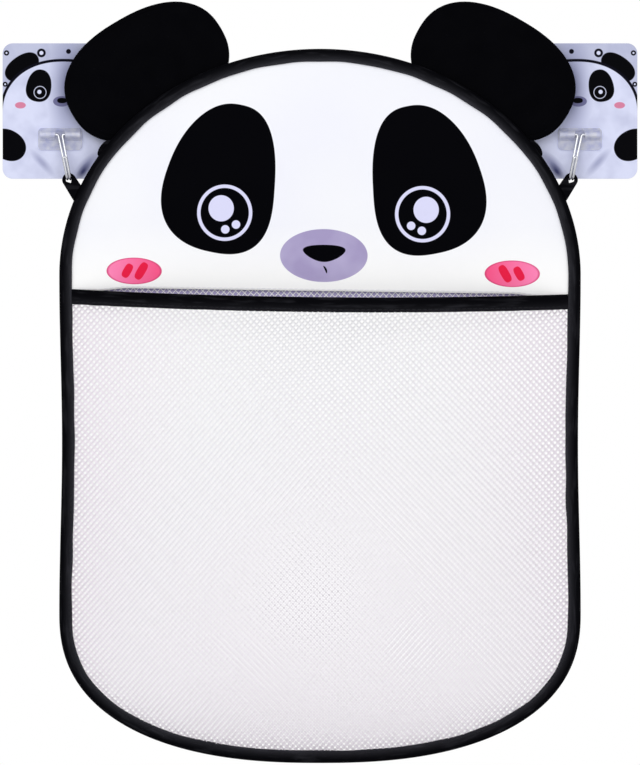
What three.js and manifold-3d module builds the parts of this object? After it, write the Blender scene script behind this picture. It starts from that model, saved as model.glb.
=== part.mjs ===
// A bath toy organizer: a net bag with a round-eared head, hung from two adhesive plates by wire hooks.
// Millimetres, +Z up. The wall is the plane y = 0 and the bag hangs in front of it, towards -Y.
// The origin lies on the wall, midway between the centres of the two plates.

import * as THREE from 'three';
import { mergeVertices } from 'three/addons/utils/BufferGeometryUtils.js';
import Module from 'manifold-3d';

const wasm = await Module();
wasm.setup();

// Fits
const fitGap = 0.3; // between pieces that touch
const overrun = 3; // how far a cutting body passes the piece that it cuts

// Bag outline, measured to the outer edge of the binding
const bagHalfWidth = 153.7;
const headSpringDrop = 97; // from the hook line down to where the head's arch begins
const headRise = 133.4;
const sideLength = 199; // from the arch down to where the rounded foot begins
const sideWaist = 1.6; // how far the sides draw in half way down
const footDrop = 88.6;
const footExponentShare = 2.4; // power of the rounded foot, 2 would be an ellipse
const outlineSteps = 84;

// Cloth and net
const liningThickness = 0.6;
const faceThickness = 0.6;
const netThickness = 0.7;
const netKnot = 1.15; // from the middle of a knot to its corner

// Edge binding, a tape folded round the edge of the bag
const bindingWidth = 7.2;
const tapeThickness = 0.9;
const bindingChamfer = 0.8;

// Spring hoop and the ferrule that joins its ends
const hoopWire = 1.2;
const ferruleWall = 0.4;
const ferruleLength = 14;
const hoopEndGap = 1.2;

// Face panel
const faceEdgeDrop = 105.4; // from the hook line down to the panel's lower edge
const netHem = 8; // how far the back net runs up behind the lining

// Mouth band of the pocket
const bandHeight = 8.5;
const bandTape = 0.7;
const bandChamfer = 0.4;
const bandEndDrop = 110.7; // from the hook line down to the middle of the band at its ends
const bandSag = 3.3;
const mouthBow = 18; // how far the band stands out in the middle
const pocketSwell = 56; // how much further the net would stand out at the foot if nothing held it
const acrossExponentShare = 2.2;
const downExponentShare = 4;

// Net meshes, in steps of half a mesh, an even number in each patch
const patchColumns = 3;
const patchRows = 3;
const patchSteps = 6;
const backSteps = 12;

// Ears
const earHalfLength = 50.7;
const earHalfHeight = 34.6;
const earExponentShare = 2.35;
const earTilt = 30.2; // degrees
const earSeatRise = 9.2; // above the hook line, where the ear stands on the head's outline
const earOverhang = 16.6; // from there out to the ear's centre
const earThickness = 3;
const earCloth = 0.6;
const earRounding = 0.8;
const earPoints = 40;

// Plates
const plateWidth = 68;
const plateHeight = 80;
const plateCorner = 6;
const plateThickness = 0.8;
const adhesiveThickness = 1;
const adhesiveMargin = 2;

// Hook boss
const bossWidth = 26;
const bossHeight = 13;
const bossFlange = 0.8;
const bossCorner = 2.5;
const bossCentreDrop = 16.6; // below the plate's middle
const barrelRadius = 2.2;
const barrelFlare = 1.6; // how much further the barrel's foot spreads
const bossSlotTop = 2.6; // half widths of the slot for the wire
const bossSlotFoot = 4.9;

// Wire hooks
const hookWire = 1.5;
const pinDrop = 14; // below the plate's middle
const pinStandoff = 2.6; // in front of the plate
const pinReach = 8.5; // from the hook's middle to a pin's end
const pinPlay = 0.3;
const legSpread = 1.5; // from the hook's middle to a wire at the pin
const throatSpread = 1.1; // the same at the throat
const cornerRadius = 1.2;
const throatRadius = 4.2; // of the wire's middle line
const throatDrop = 36.3; // of the throat's centre, below the plates' middle
const throatInset = 4.6; // of the throat's centre, from the plate's middle towards the bag
const tipRise = 8.6; // of the hook's tip above the throat's centre
const tipFlare = 0.7;

// Hanging loops
const loopStrand = 1.5;
const loopDepth = 3;
const loopRounding = 0.5;
const loopRootWidth = 8.6;
const loopEyeLength = 4.6; // from the middle of the eye's round end to its point
const loopPlay = 0.7; // between the wires and the sides of the eye
const loopRootDrop = 48.4; // below the hook line, where the loop meets the binding
const loopRootGap = 0.5;
const loopReach = 4.8; // sideways from there to the middle of the eye

// Side tabs
const tabHalfLength = 6;
const tabHalfWidth = 2.8;
const tabThickness = 2.6;
const tabDrop = 22; // below the hook line

// Stations from the wall outwards, as distances in front of it
const plateFront = adhesiveThickness + plateThickness;
const pinDepth = plateFront + pinStandoff;
const earBack = pinDepth + barrelRadius + fitGap;
const earFront = earBack + earThickness;
const bindingBack = earFront + fitGap;
const slotBack = bindingBack + tapeThickness;
const backNetBack = slotBack + fitGap;
const backNetFront = backNetBack + netThickness;
const liningBack = backNetFront + fitGap;
const faceBack = liningBack + liningThickness + fitGap;
const frontNetFront = backNetFront + fitGap + bandTape + fitGap + netThickness;
const slotFront = frontNetFront + fitGap;
const bindingFront = slotFront + tapeThickness;
const bagMiddle = (bindingBack + bindingFront) / 2;

// Insets from the outer edge of the binding
const ferruleRadius = (slotFront - slotBack) / 2 - fitGap;
const hoopInset = tapeThickness + fitGap + ferruleRadius;
const panelInset = hoopInset + ferruleRadius + fitGap;
const netInset = bindingWidth + netThickness;

const left = -1;
const right = 1;

// Materials
const material = (color, roughness, metalness = 0, opacity = 1) =>
  new THREE.MeshStandardMaterial({ color, roughness, metalness, opacity, transparent: opacity < 1 });
const blackTape = material(0x0b0b10, 0.55);
const blackCloth = material(0x08080c, 0.62);
const blackFoam = material(0x18181c, 0.9);
const faceCloth = material(0xf6f6ff, 0.32);
const liningCloth = material(0xe9e9f2, 0.7);
const netYarn = material(0xf3f2f8, 0.6);
const printedSheet = material(0xdadefa, 0.3);
const clearPlastic = material(0xe4e8fb, 0.12, 0, 0.6);
const adhesive = material(0xe8eaf0, 0.5, 0, 0.7);
const stainless = material(0xc9c9cd, 0.22, 1);
const springSteel = material(0x8d9095, 0.35, 1);

// General shapes

// A closed mesh from points and triangles, with its faces turned outwards
function closedMesh(points, triangles) {
  const geometry = new THREE.BufferGeometry();
  geometry.setAttribute('position', new THREE.Float32BufferAttribute(points.flatMap((p) => p.toArray()), 3));
  const volume = triangles.reduce((sum, [a, b, c]) => {
    const normal = new THREE.Vector3().crossVectors(points[b], points[c]);
    return sum + points[a].dot(normal);
  }, 0);
  const outward = volume > 0 ? triangles : triangles.map(([a, b, c]) => [a, c, b]);
  geometry.setIndex(outward.flat());
  geometry.computeVertexNormals();
  return geometry;
}

// A section carried through a list of rings, closed on itself or capped at both ends
function loft(rings, section, closed) {
  const size = section.length;
  const triangles = [];
  const spans = closed ? rings.length : rings.length - 1;
  for (let ring = 0; ring < spans; ring += 1) {
    const here = ring * size;
    const there = ((ring + 1) % rings.length) * size;
    for (let corner = 0; corner < size; corner += 1) {
      const next = (corner + 1) % size;
      triangles.push([here + corner, here + next, there + next]);
      triangles.push([here + corner, there + next, there + corner]);
    }
  }
  if (!closed) {
    const cap = THREE.ShapeUtils.triangulateShape(section, []);
    const last = (rings.length - 1) * size;
    for (const [a, b, c] of cap) {
      triangles.push([c, b, a]);
      triangles.push([last + a, last + b, last + c]);
    }
  }
  return closedMesh(rings.flat(), triangles);
}

// A flat or curved sheet made of polygons, with the same thickness towards the wall everywhere
function thickSheet(points, polygons, thickness) {
  const count = points.length;
  const behind = points.map((p) => new THREE.Vector3(p.x, p.y + thickness, p.z));
  const triangles = [];
  const edges = new Map();
  for (const polygon of polygons) {
    for (let corner = 1; corner < polygon.length - 1; corner += 1) {
      const [a, b, c] = [polygon[0], polygon[corner], polygon[corner + 1]];
      triangles.push([a, b, c]);
      triangles.push([c + count, b + count, a + count]);
    }
    polygon.forEach((a, corner) => {
      const b = polygon[(corner + 1) % polygon.length];
      if (!edges.delete(`${b} ${a}`)) edges.set(`${a} ${b}`, [a, b]);
    });
  }
  for (const [a, b] of edges.values()) {
    triangles.push([a, a + count, b + count]);
    triangles.push([a, b + count, b]);
  }
  return closedMesh([...points, ...behind], triangles);
}

// A path whose rings lie exactly on its stations
class StationPath extends THREE.Curve {
  constructor(stations) {
    super();
    this.stations = stations;
  }

  getPoint(t, target = new THREE.Vector3()) {
    const spans = this.stations.length - 1;
    const span = Math.min(Math.floor(t * spans), spans - 1);
    return target.copy(this.stations[span]).lerp(this.stations[span + 1], t * spans - span);
  }

  getPointAt(t, target) {
    return this.getPoint(t, target);
  }

  getTangentAt(t, target = new THREE.Vector3()) {
    const last = this.stations.length - 1;
    const station = Math.round(t * last);
    const before = this.stations[Math.max(station - 1, 0)];
    const after = this.stations[Math.min(station + 1, last)];
    return target.copy(after).sub(before).normalize();
  }
}

// A round rod along a list of stations
function rod(stations, radius, sides) {
  const section = new THREE.Shape();
  for (let side = 0; side < sides; side += 1) {
    const angle = (2 * Math.PI * side) / sides;
    const [x, y] = [radius * Math.cos(angle), radius * Math.sin(angle)];
    if (side === 0) section.moveTo(x, y);
    else section.lineTo(x, y);
  }
  return new THREE.ExtrudeGeometry(section, {
    extrudePath: new StationPath(stations),
    steps: stations.length - 1,
  });
}

// Points of a bent line. Each corner is rounded by an arc that starts its own length away from it, in a
// number of steps, and two arcs that meet share a point.
function bentLine(corners, steps) {
  const stations = [corners[0].point];
  for (let index = 1; index < corners.length - 1; index += 1) {
    const { point, rounding } = corners[index];
    const into = corners[index - 1].point.clone().sub(point).normalize().multiplyScalar(rounding);
    const out = corners[index + 1].point.clone().sub(point).normalize().multiplyScalar(rounding);
    const turn = into.angleTo(out.clone().negate());
    const handle = 1 - ((4 / 3) * Math.tan(turn / 4)) / Math.tan(turn / 2);
    const bend = new THREE.CubicBezierCurve3(
      point.clone().add(into),
      point.clone().addScaledVector(into, handle),
      point.clone().addScaledVector(out, handle),
      point.clone().add(out),
    );
    const points = bend.getPoints(steps);
    const meets = points[0].distanceTo(stations[stations.length - 1]) < fitGap;
    stations.push(...(meets ? points.slice(1) : points));
  }
  stations.push(corners[corners.length - 1].point);
  return stations;
}

// A drawing in the plane of the wall, with x and z as its axes, given depth towards the front
function forward(shape, depth, rounding = 0) {
  const geometry = new THREE.ExtrudeGeometry(shape, {
    depth: depth - 2 * rounding,
    curveSegments: 4,
    bevelEnabled: rounding > 0,
    bevelThickness: rounding,
    bevelSize: rounding,
    bevelOffset: -rounding,
    bevelSegments: 2,
  });
  geometry.translate(0, 0, rounding);
  geometry.rotateX(Math.PI / 2);
  return geometry;
}

// The same, standing a distance in front of the wall
function forwardFrom(shape, standoff, depth, rounding = 0) {
  return forward(shape, depth, rounding).translate(0, -standoff, 0);
}

function roundedRectangle(width, height, radius) {
  const shape = new THREE.Shape();
  const [x, z] = [width / 2, height / 2];
  shape.moveTo(radius - x, -z);
  shape.lineTo(x - radius, -z);
  shape.absarc(x - radius, radius - z, radius, -Math.PI / 2, 0);
  shape.lineTo(x, z - radius);
  shape.absarc(x - radius, z - radius, radius, 0, Math.PI / 2);
  shape.lineTo(radius - x, z);
  shape.absarc(radius - x, z - radius, radius, Math.PI / 2, Math.PI);
  shape.lineTo(-x, radius - z);
  shape.absarc(radius - x, radius - z, radius, Math.PI, 1.5 * Math.PI);
  return shape;
}

// Cutting and joining
function toSolid(geometry) {
  const bare = geometry.clone();
  bare.deleteAttribute('normal');
  bare.deleteAttribute('uv');
  const merged = mergeVertices(bare);
  const mesh = new wasm.Mesh({
    numProp: 3,
    vertProperties: new Float32Array(merged.attributes.position.array),
    triVerts: new Uint32Array(merged.index.array),
  });
  return new wasm.Manifold(mesh);
}

function toGeometry(solid) {
  const mesh = solid.getMesh();
  const geometry = new THREE.BufferGeometry();
  geometry.setAttribute('position', new THREE.Float32BufferAttribute(mesh.vertProperties, mesh.numProp));
  geometry.setIndex(new THREE.BufferAttribute(new Uint32Array(mesh.triVerts), 1));
  geometry.computeVertexNormals();
  return geometry;
}

const cut = (geometry, ...tools) =>
  toGeometry(tools.reduce((solid, tool) => solid.subtract(toSolid(tool)), toSolid(geometry)));
const join = (geometry, ...others) =>
  toGeometry(others.reduce((solid, other) => solid.add(toSolid(other)), toSolid(geometry)));
const common = (geometry, other) => toGeometry(toSolid(geometry).intersect(toSolid(other)));

// The bag's outline: an elliptic arch, slightly waisted sides and a rounded foot.
// It starts at the top of the head and runs down the right side and up the left.
class BagOutline extends THREE.Curve {
  constructor() {
    super();
    this.arcLengthDivisions = 1200;
  }

  getPoint(t, target = new THREE.Vector2()) {
    const side = t <= 0.5 ? right : left;
    const along = 3 * (t <= 0.5 ? 2 * t : 2 - 2 * t);
    const part = Math.min(Math.floor(along), 2);
    const share = along - part;
    const angle = (share * Math.PI) / 2;
    if (part === 0) {
      return target.set(side * bagHalfWidth * Math.sin(angle), headRise * Math.cos(angle) - headSpringDrop);
    }
    if (part === 1) {
      const draw = sideWaist * Math.sin(share * Math.PI) ** 2;
      return target.set(side * (bagHalfWidth - draw), -headSpringDrop - sideLength * share);
    }
    const power = 2 / footExponentShare;
    const x = bagHalfWidth * Math.abs(Math.cos(angle)) ** power;
    const drop = footDrop * Math.sin(angle) ** power;
    return target.set(side * x, -headSpringDrop - sideLength - drop);
  }
}

const outline = new BagOutline();

// The unit direction into the bag at a share of the outline's length
function inwardAt(share) {
  const tangent = outline.getTangentAt(share);
  return new THREE.Vector2(tangent.y, -tangent.x);
}

// A point of the outline, moved inwards
function outlineAt(share, inset) {
  const wrapped = share - Math.floor(share);
  return outline.getPointAt(wrapped).addScaledVector(inwardAt(wrapped), inset);
}

// Where the right half of the outline passes a height
function shareAtHeight(z) {
  let [above, below] = [0, 0.5];
  for (let halving = 0; halving < 40; halving += 1) {
    const middle = (above + below) / 2;
    if (outline.getPointAt(middle).y > z) above = middle;
    else below = middle;
  }
  return (above + below) / 2;
}

const outlineShares = Array.from({ length: outlineSteps }, (_, step) => step / outlineSteps);

// The whole outline at an inset, as a closed drawing
function outlineShape(inset) {
  return new THREE.Shape(outlineShares.map((share) => outlineAt(share, inset)));
}

// The part of it above a level
function headShape(inset, level) {
  const end = shareAtHeight(level);
  const above = outlineShares.filter((share) => share < end);
  const rightHalf = [...above, end].map((share) => outlineAt(share, inset));
  const leftHalf = rightHalf.slice(1).reverse();
  return new THREE.Shape([...rightHalf, ...leftHalf.map((p) => new THREE.Vector2(-p.x, p.y))]);
}

// Edge binding: the folded tape's section carried round the outline
function makeEdgeBinding() {
  const [back, front] = [-bindingBack, -bindingFront];
  const section = [
    [bindingWidth, front],
    [bindingChamfer, front],
    [0, front + bindingChamfer],
    [0, back - bindingChamfer],
    [bindingChamfer, back],
    [bindingWidth, back],
    [bindingWidth, -slotBack],
    [tapeThickness, -slotBack],
    [tapeThickness, -slotFront],
    [bindingWidth, -slotFront],
  ].map(([inset, y]) => new THREE.Vector2(inset, y));
  const rings = outlineShares.map((share) =>
    section.map(({ x: inset, y }) => {
      const point = outlineAt(share, inset);
      return new THREE.Vector3(point.x, y, point.y);
    }),
  );
  return loft(rings, section, true);
}

// The spring hoop lies in the fold of the binding and is open at the ferrule
function makeHoop() {
  const endShare = hoopEndGap / 2 / outline.getLength();
  const shares = outlineShares.map((share) => share + 0.5).slice(1);
  const stations = [0.5 + endShare, ...shares, 1.5 - endShare].map((share) => {
    const point = outlineAt(share, hoopInset);
    return new THREE.Vector3(point.x, -bagMiddle, point.y);
  });
  return rod(stations, hoopWire / 2, 6);
}

function makeFerrule() {
  const bore = ferruleRadius - ferruleWall;
  const half = ferruleLength / 2;
  const profile = [
    [bore, -half],
    [ferruleRadius, -half],
    [ferruleRadius, half],
    [bore, half],
    [bore, -half],
  ].map(([radius, along]) => new THREE.Vector2(radius, along));
  return new THREE.LatheGeometry(profile, 12).rotateZ(Math.PI / 2);
}

// The net pocket: how far it stands out, from -1 to 1 across and from 0 at the mouth to 1 at the foot
function pocketDepth(across, down) {
  const acrossFall = 1 - Math.min(Math.abs(across), 1) ** acrossExponentShare;
  return acrossFall * (1 - down ** downExponentShare) * (mouthBow + pocketSwell * down);
}

const rimStart = shareAtHeight(-bandEndDrop - bandHeight / 2);
const mouthHalfWidth = outlineAt(rimStart, netInset).x;
const bandMiddleAt = (x) => -bandEndDrop - bandSag * (1 - (x / mouthHalfWidth) ** 2);
const mouthLineAt = (x) => bandMiddleAt(x) - bandHeight / 2;
const frontRimHeight = bandHeight - bandTape - fitGap;

// A net's surface over a grid of columns and rows: four border curves blended, plus one step of hem
// outside each border, which lies flat
function netSurface({ columns, rows, topAt, start, depthAt, standoff, hemHeight }) {
  const cornerDrop = headSpringDrop + sideLength + footDrop * Math.SQRT1_2 ** (2 / footExponentShare);
  const footShare = shareAtHeight(-cornerDrop);
  const sideShareAt = (down) => start + (footShare - start) * down;
  const footShareAt = (across) => 1 - footShare + (2 * footShare - 1) * across;
  const sideAt = (down) => outlineAt(sideShareAt(down), netInset);
  const footAt = (across) => outlineAt(footShareAt(across), netInset);
  const half = sideAt(0).x;
  const hemWidth = netInset - panelInset;
  return (column, row) => {
    const across = Math.min(Math.max(column / columns, 0), 1);
    const down = Math.min(Math.max(row / rows, 0), 1);
    const topX = half * (2 * across - 1);
    const top = new THREE.Vector2(topX, topAt(topX));
    const foot = footAt(across);
    const side = sideAt(down);
    const blendX =
      side.x * (2 * across - 1) + top.x * (1 - down) + foot.x * down -
      (2 * across - 1) * (half * (1 - down) + sideAt(1).x * down);
    const cornerZ = topAt(half) * (1 - down) + sideAt(1).y * down;
    const blendZ = side.y + top.y * (1 - down) + foot.y * down - cornerZ;
    const point = new THREE.Vector3(blendX, -standoff - depthAt(2 * across - 1, down), blendZ);
    const past = Math.max(-column, column - columns, 0);
    const under = Math.max(row - rows, 0);
    if (past > 0 || under > 0) {
      const inward = inwardAt(past > 0 ? sideShareAt(down) : footShareAt(across));
      const mirror = past > 0 && column < 0 ? left : right;
      point.x -= mirror * inward.x * hemWidth;
      point.z -= inward.y * hemWidth;
    }
    if (row < 0) point.z += hemHeight;
    return point;
  };
}

// One patch of net. Knots sit where column and row add up to an odd number, and strands join each knot
// to its four diagonal neighbours. An outer border has a hem, and a patch ends half a gap short of the next.
function makeNet(surface, columns, rows, [firstColumn, lastColumn], [firstRow, lastRow]) {
  const points = [];
  const labels = new Map();
  const polygons = [];
  const bordersSide = { left: firstColumn === 0, right: lastColumn === columns };
  const bordersEnd = { top: firstRow === 0, foot: lastRow === rows };
  const add = (label, point) => {
    if (!labels.has(label)) {
      labels.set(label, points.length);
      points.push(point);
    }
    return labels.get(label);
  };
  const direction = (column, row, columnStep, rowStep) => {
    const within = (value, size) => Math.min(Math.max(value, 0), size);
    const before = surface(within(column - columnStep, columns), within(row - rowStep, rows));
    return surface(within(column + columnStep, columns), within(row + rowStep, rows)).sub(before).normalize();
  };
  const half = 0.5;
  // A grid point, drawn back from an inner border by half a gap
  const gridPoint = (column, row) => {
    const point = surface(column, row);
    const along = direction(column, row, half, 0);
    const down = direction(column, row, 0, half);
    const back = fitGap / 2;
    if (column === firstColumn && !bordersSide.left) point.addScaledVector(along, back);
    if (column === lastColumn && !bordersSide.right) point.addScaledVector(along, -back);
    if (row === firstRow && !bordersEnd.top) point.addScaledVector(down, back);
    if (row === lastRow && !bordersEnd.foot) point.addScaledVector(down, -back);
    return { point, along, down };
  };
  const corner = (column, row, name) => {
    const { point, along, down } = gridPoint(column, row);
    const steps = {
      east: [along, netKnot],
      west: [along, -netKnot],
      north: [down, -netKnot],
      south: [down, netKnot],
    };
    const [way, distance] = steps[name];
    return add(`${column} ${row} ${name}`, point.addScaledVector(way, distance));
  };
  const isKnot = (column, row) => (column + row) % 2 !== 0;
  for (let row = firstRow; row <= lastRow; row += 1) {
    for (let column = firstColumn; column <= lastColumn; column += 1) {
      if (!isKnot(column, row)) continue;
      const names = ['east', 'north', 'west', 'south'].filter(
        (name) =>
          !(name === 'east' && column === lastColumn) &&
          !(name === 'west' && column === firstColumn) &&
          !(name === 'north' && row === firstRow) &&
          !(name === 'south' && row === lastRow),
      );
      polygons.push(names.map((name) => corner(column, row, name)));
      if (column === lastColumn) continue;
      if (row < lastRow) {
        polygons.push([
          corner(column, row, 'east'),
          corner(column, row, 'south'),
          corner(column + 1, row + 1, 'west'),
          corner(column + 1, row + 1, 'north'),
        ]);
      }
      if (row > firstRow) {
        polygons.push([
          corner(column, row, 'north'),
          corner(column, row, 'east'),
          corner(column + 1, row - 1, 'south'),
          corner(column + 1, row - 1, 'west'),
        ]);
      }
    }
  }
  // The border's inner points in order, and the same points moved out to the hem's edge
  const border = (cells, before, after, hemCell, cellName) => {
    const inner = cells.flatMap(([column, row]) =>
      isKnot(column, row)
        ? [before, after].map((name) => [corner(column, row, name), column, row, name])
        : [[add(`${column} ${row} bare`, gridPoint(column, row).point), column, row, 'bare']],
    );
    return inner.map(([index, column, row, name]) => {
      const [outColumn, outRow] = hemCell(column, row);
      const shift = surface(outColumn, outRow).sub(surface(column, row));
      const atFoot = row === rows && (column === 0 || column === columns);
      const label = atFoot ? `${column} foot hem` : `${column} ${row} ${name} ${cellName}`;
      return { inner: index, outer: add(label, points[index].clone().add(shift)) };
    });
  };
  const strip = (pairs, reverse) => {
    for (let index = 0; index < pairs.length - 1; index += 1) {
      const [a, b] = reverse ? [pairs[index + 1], pairs[index]] : [pairs[index], pairs[index + 1]];
      polygons.push([a.inner, b.inner, b.outer, a.outer]);
    }
  };
  const range = (first, last) => Array.from({ length: last - first + 1 }, (_, step) => first + step);
  const down = (column) => range(firstRow, lastRow).map((row) => [column, row]);
  const along = (row) => range(firstColumn, lastColumn).map((column) => [column, row]);
  const hemBeside = (column, step, name) =>
    border(down(column), 'north', 'south', (c, r) => [c + step, r], name);
  const hemAlong = (row, step, name) => border(along(row), 'west', 'east', (c, r) => [c, r + step], name);
  const hems = {};
  if (bordersSide.left) hems.left = hemBeside(0, -1, 'left hem');
  if (bordersSide.right) hems.right = hemBeside(columns, 1, 'right hem');
  if (bordersEnd.top) hems.top = hemAlong(0, -1, 'top hem');
  if (bordersEnd.foot) hems.foot = hemAlong(rows, 1, 'foot hem');
  if (hems.left) strip(hems.left, true);
  if (hems.right) strip(hems.right, false);
  if (hems.top) strip(hems.top, false);
  if (hems.foot) strip(hems.foot, true);
  if (hems.top && hems.left) {
    const outer = surface(-1, -1);
    const [side, top] = [hems.left[0], hems.top[0]];
    polygons.push([side.inner, top.outer, add('left corner', outer), side.outer]);
  }
  if (hems.top && hems.right) {
    const outer = surface(columns + 1, -1);
    const [side, top] = [hems.right[0], hems.top[hems.top.length - 1]];
    polygons.push([side.inner, side.outer, add('right corner', outer), top.outer]);
  }
  return thickSheet(points, polygons, netThickness);
}

const frontColumns = patchColumns * patchSteps;
const frontRows = patchRows * patchSteps;
const frontSurface = netSurface({
  columns: frontColumns,
  rows: frontRows,
  topAt: mouthLineAt,
  start: rimStart,
  depthAt: pocketDepth,
  standoff: frontNetFront,
  hemHeight: frontRimHeight,
});
const backSurface = netSurface({
  columns: backSteps,
  rows: backSteps,
  topAt: () => -faceEdgeDrop - fitGap,
  start: shareAtHeight(-faceEdgeDrop - fitGap),
  depthAt: () => 0,
  standoff: backNetFront,
  hemHeight: netHem,
});

// The mouth band: a folded tape over the upper edge of the pocket net, from binding to binding
function makeMouthBand() {
  const halfSlot = netThickness / 2 + fitGap;
  const halfBand = halfSlot + bandTape;
  const roof = bandHeight - bandTape;
  const section = [
    [-halfBand, 0],
    [-halfSlot, 0],
    [-halfSlot, roof],
    [halfSlot, roof],
    [halfSlot, 0],
    [halfBand, 0],
    [halfBand, bandHeight - bandChamfer],
    [halfBand - bandChamfer, bandHeight],
    [bandChamfer - halfBand, bandHeight],
    [-halfBand, bandHeight - bandChamfer],
  ].map(([outward, up]) => new THREE.Vector2(outward, up));
  const end = outlineAt(rimStart, bindingWidth + fitGap).x;
  const placeOf = (_, column) => mouthHalfWidth * ((2 * column) / frontColumns - 1);
  const places = Array.from({ length: frontColumns + 1 }, placeOf);
  places[0] = -end;
  places[frontColumns] = end;
  const line = places.map((x) => {
    const depth = pocketDepth(x / mouthHalfWidth, 0);
    return new THREE.Vector3(x, netThickness / 2 - frontNetFront - depth, mouthLineAt(x) + fitGap);
  });
  const rings = line.map((point, index) => {
    const before = line[Math.max(index - 1, 0)];
    const after = line[Math.min(index + 1, line.length - 1)];
    const outward = new THREE.Vector3(after.y - before.y, before.x - after.x, 0).normalize();
    if (index === 0 || index === line.length - 1) outward.set(0, -1, 0);
    return section.map((corner) => {
      const placed = point.clone().addScaledVector(outward, corner.x);
      placed.z += corner.y;
      return placed;
    });
  });
  return loft(rings, section, false);
}

// The middle of the right ear
const earMiddle = outlineAt(shareAtHeight(earSeatRise), -earOverhang);

// An ear's outline, a tilted superellipse drawn in by an amount
function earShape(side, inset) {
  const [a, b] = [earHalfLength - inset, earHalfHeight - inset];
  const tilt = THREE.MathUtils.degToRad(earTilt) * side;
  const power = 2 / earExponentShare;
  const points = Array.from({ length: earPoints }, (_, step) => {
    const angle = (2 * Math.PI * step) / earPoints;
    const [c, s] = [Math.cos(angle), Math.sin(angle)];
    const long = a * Math.sign(c) * Math.abs(c) ** power;
    const high = b * Math.sign(s) * Math.abs(s) ** power;
    return new THREE.Vector2(long, high).rotateAround(new THREE.Vector2(), -tilt);
  });
  const centre = new THREE.Vector2(side * earMiddle.x, earMiddle.y);
  return new THREE.Shape(points.map((point) => point.add(centre)));
}

// An ear's cloth is two shells that meet in a seam round a thin foam core.
// The binding of the head covers its root.
function makeEar(side) {
  const headInset = bindingWidth - fitGap;
  const head = forwardFrom(outlineShape(headInset), earBack - overrun, earThickness + 2 * overrun);
  const whole = forwardFrom(earShape(side, 0), earBack, earThickness, earRounding);
  const hollow = forwardFrom(earShape(side, earCloth), earBack + earCloth, earThickness - 2 * earCloth);
  const bag = cut(whole, hollow, head);
  const reach = 2 * (earHalfLength + overrun);
  const half = (standoff) => {
    const block = new THREE.BoxGeometry(reach, earThickness, reach);
    return block.translate(side * earMiddle.x, -standoff, earMiddle.y);
  };
  const seam = earBack + earThickness / 2;
  const coreInset = earCloth + fitGap;
  const core = forwardFrom(earShape(side, coreInset), earBack + coreInset, earThickness - 2 * coreInset);
  return {
    front: common(bag, half(seam + earThickness / 2)),
    back: common(bag, half(seam - earThickness / 2)),
    core: cut(core, head),
  };
}

// A plate's boss: a flange with a barrel for the pins, slotted for the wire
function makeBoss() {
  const barrelDrop = pinDrop - bossCentreDrop;
  const flange = forwardFrom(roundedRectangle(bossWidth, bossHeight, bossCorner), 0, bossFlange);
  const profile = new THREE.Shape();
  const foot = barrelRadius + barrelFlare;
  profile.moveTo(-foot, bossFlange / 2);
  profile.lineTo(foot, bossFlange / 2);
  profile.lineTo(barrelRadius, pinStandoff);
  profile.absarc(0, pinStandoff, barrelRadius, 0, Math.PI);
  const barrel = new THREE.ExtrudeGeometry(profile, { depth: bossWidth - bossCorner, curveSegments: 8 });
  barrel.translate(0, 0, (bossCorner - bossWidth) / 2);
  barrel.rotateY(Math.PI / 2);
  barrel.rotateX(Math.PI);
  barrel.translate(0, 0, -barrelDrop);
  const boreRadius = hookWire / 2 + pinPlay;
  const bore = new THREE.CylinderGeometry(boreRadius, boreRadius, bossWidth + overrun, 12);
  bore.rotateZ(Math.PI / 2);
  bore.translate(0, -pinStandoff, -barrelDrop);
  const slotTop = barrelRadius + fitGap;
  const slot = new THREE.Shape();
  slot.moveTo(-bossSlotTop, slotTop);
  slot.lineTo(-bossSlotFoot, -bossHeight);
  slot.lineTo(bossSlotFoot, -bossHeight);
  slot.lineTo(bossSlotTop, slotTop);
  const window = forwardFrom(slot, bossFlange, pinStandoff + barrelRadius + overrun);
  window.translate(0, 0, -barrelDrop);
  return cut(join(flange, barrel), bore, window);
}

// Where a loop meets the binding, where its eye sits on the foot of the hook's throat, and so how far
// the plates stand from the middle
const hookLean = throatInset / (throatDrop - pinDrop);
const loopRoot = outlineAt(shareAtHeight(-loopRootDrop), 0);
const eyeOffset = loopRoot.x + loopReach;
const eyeZ = fitGap - loopPlay - throatDrop - throatRadius;
const plateOffset = eyeOffset + throatInset + hookLean * throatRadius;

// A wire hook, bent from one length: pin, leg, throat, tip and back again
function makeHook(side) {
  const middleAt = (z) => -side * hookLean * (-pinDrop - z);
  const backY = throatRadius - bagMiddle;
  const frontY = -throatRadius - bagMiddle;
  const throatFoot = -throatDrop - throatRadius;
  const tipZ = tipRise - throatDrop;
  const half = (turn) => {
    const at = (spread, y, z) => new THREE.Vector3(middleAt(z) + turn * spread, y, z);
    return [
      { point: at(pinReach, -pinDepth, -pinDrop) },
      { point: at(legSpread, -pinDepth, -pinDrop), rounding: cornerRadius },
      { point: at(throatSpread, backY, throatFoot), rounding: throatRadius },
      { point: at(throatSpread, frontY, throatFoot), rounding: throatRadius },
      { point: at(throatSpread, frontY - tipFlare, tipZ), rounding: throatSpread },
    ];
  };
  const corners = [...half(left), ...half(right).reverse()];
  return rod(bentLine(corners, 4), hookWire / 2, 8);
}

// The bag as one block, larger all round by a gap, for cutting what is sewn against its edge
function bagBlock(gap) {
  const depth = bindingFront - bindingBack + 2 * overrun;
  return forwardFrom(outlineShape(-gap), bindingBack - overrun, depth);
}

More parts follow.
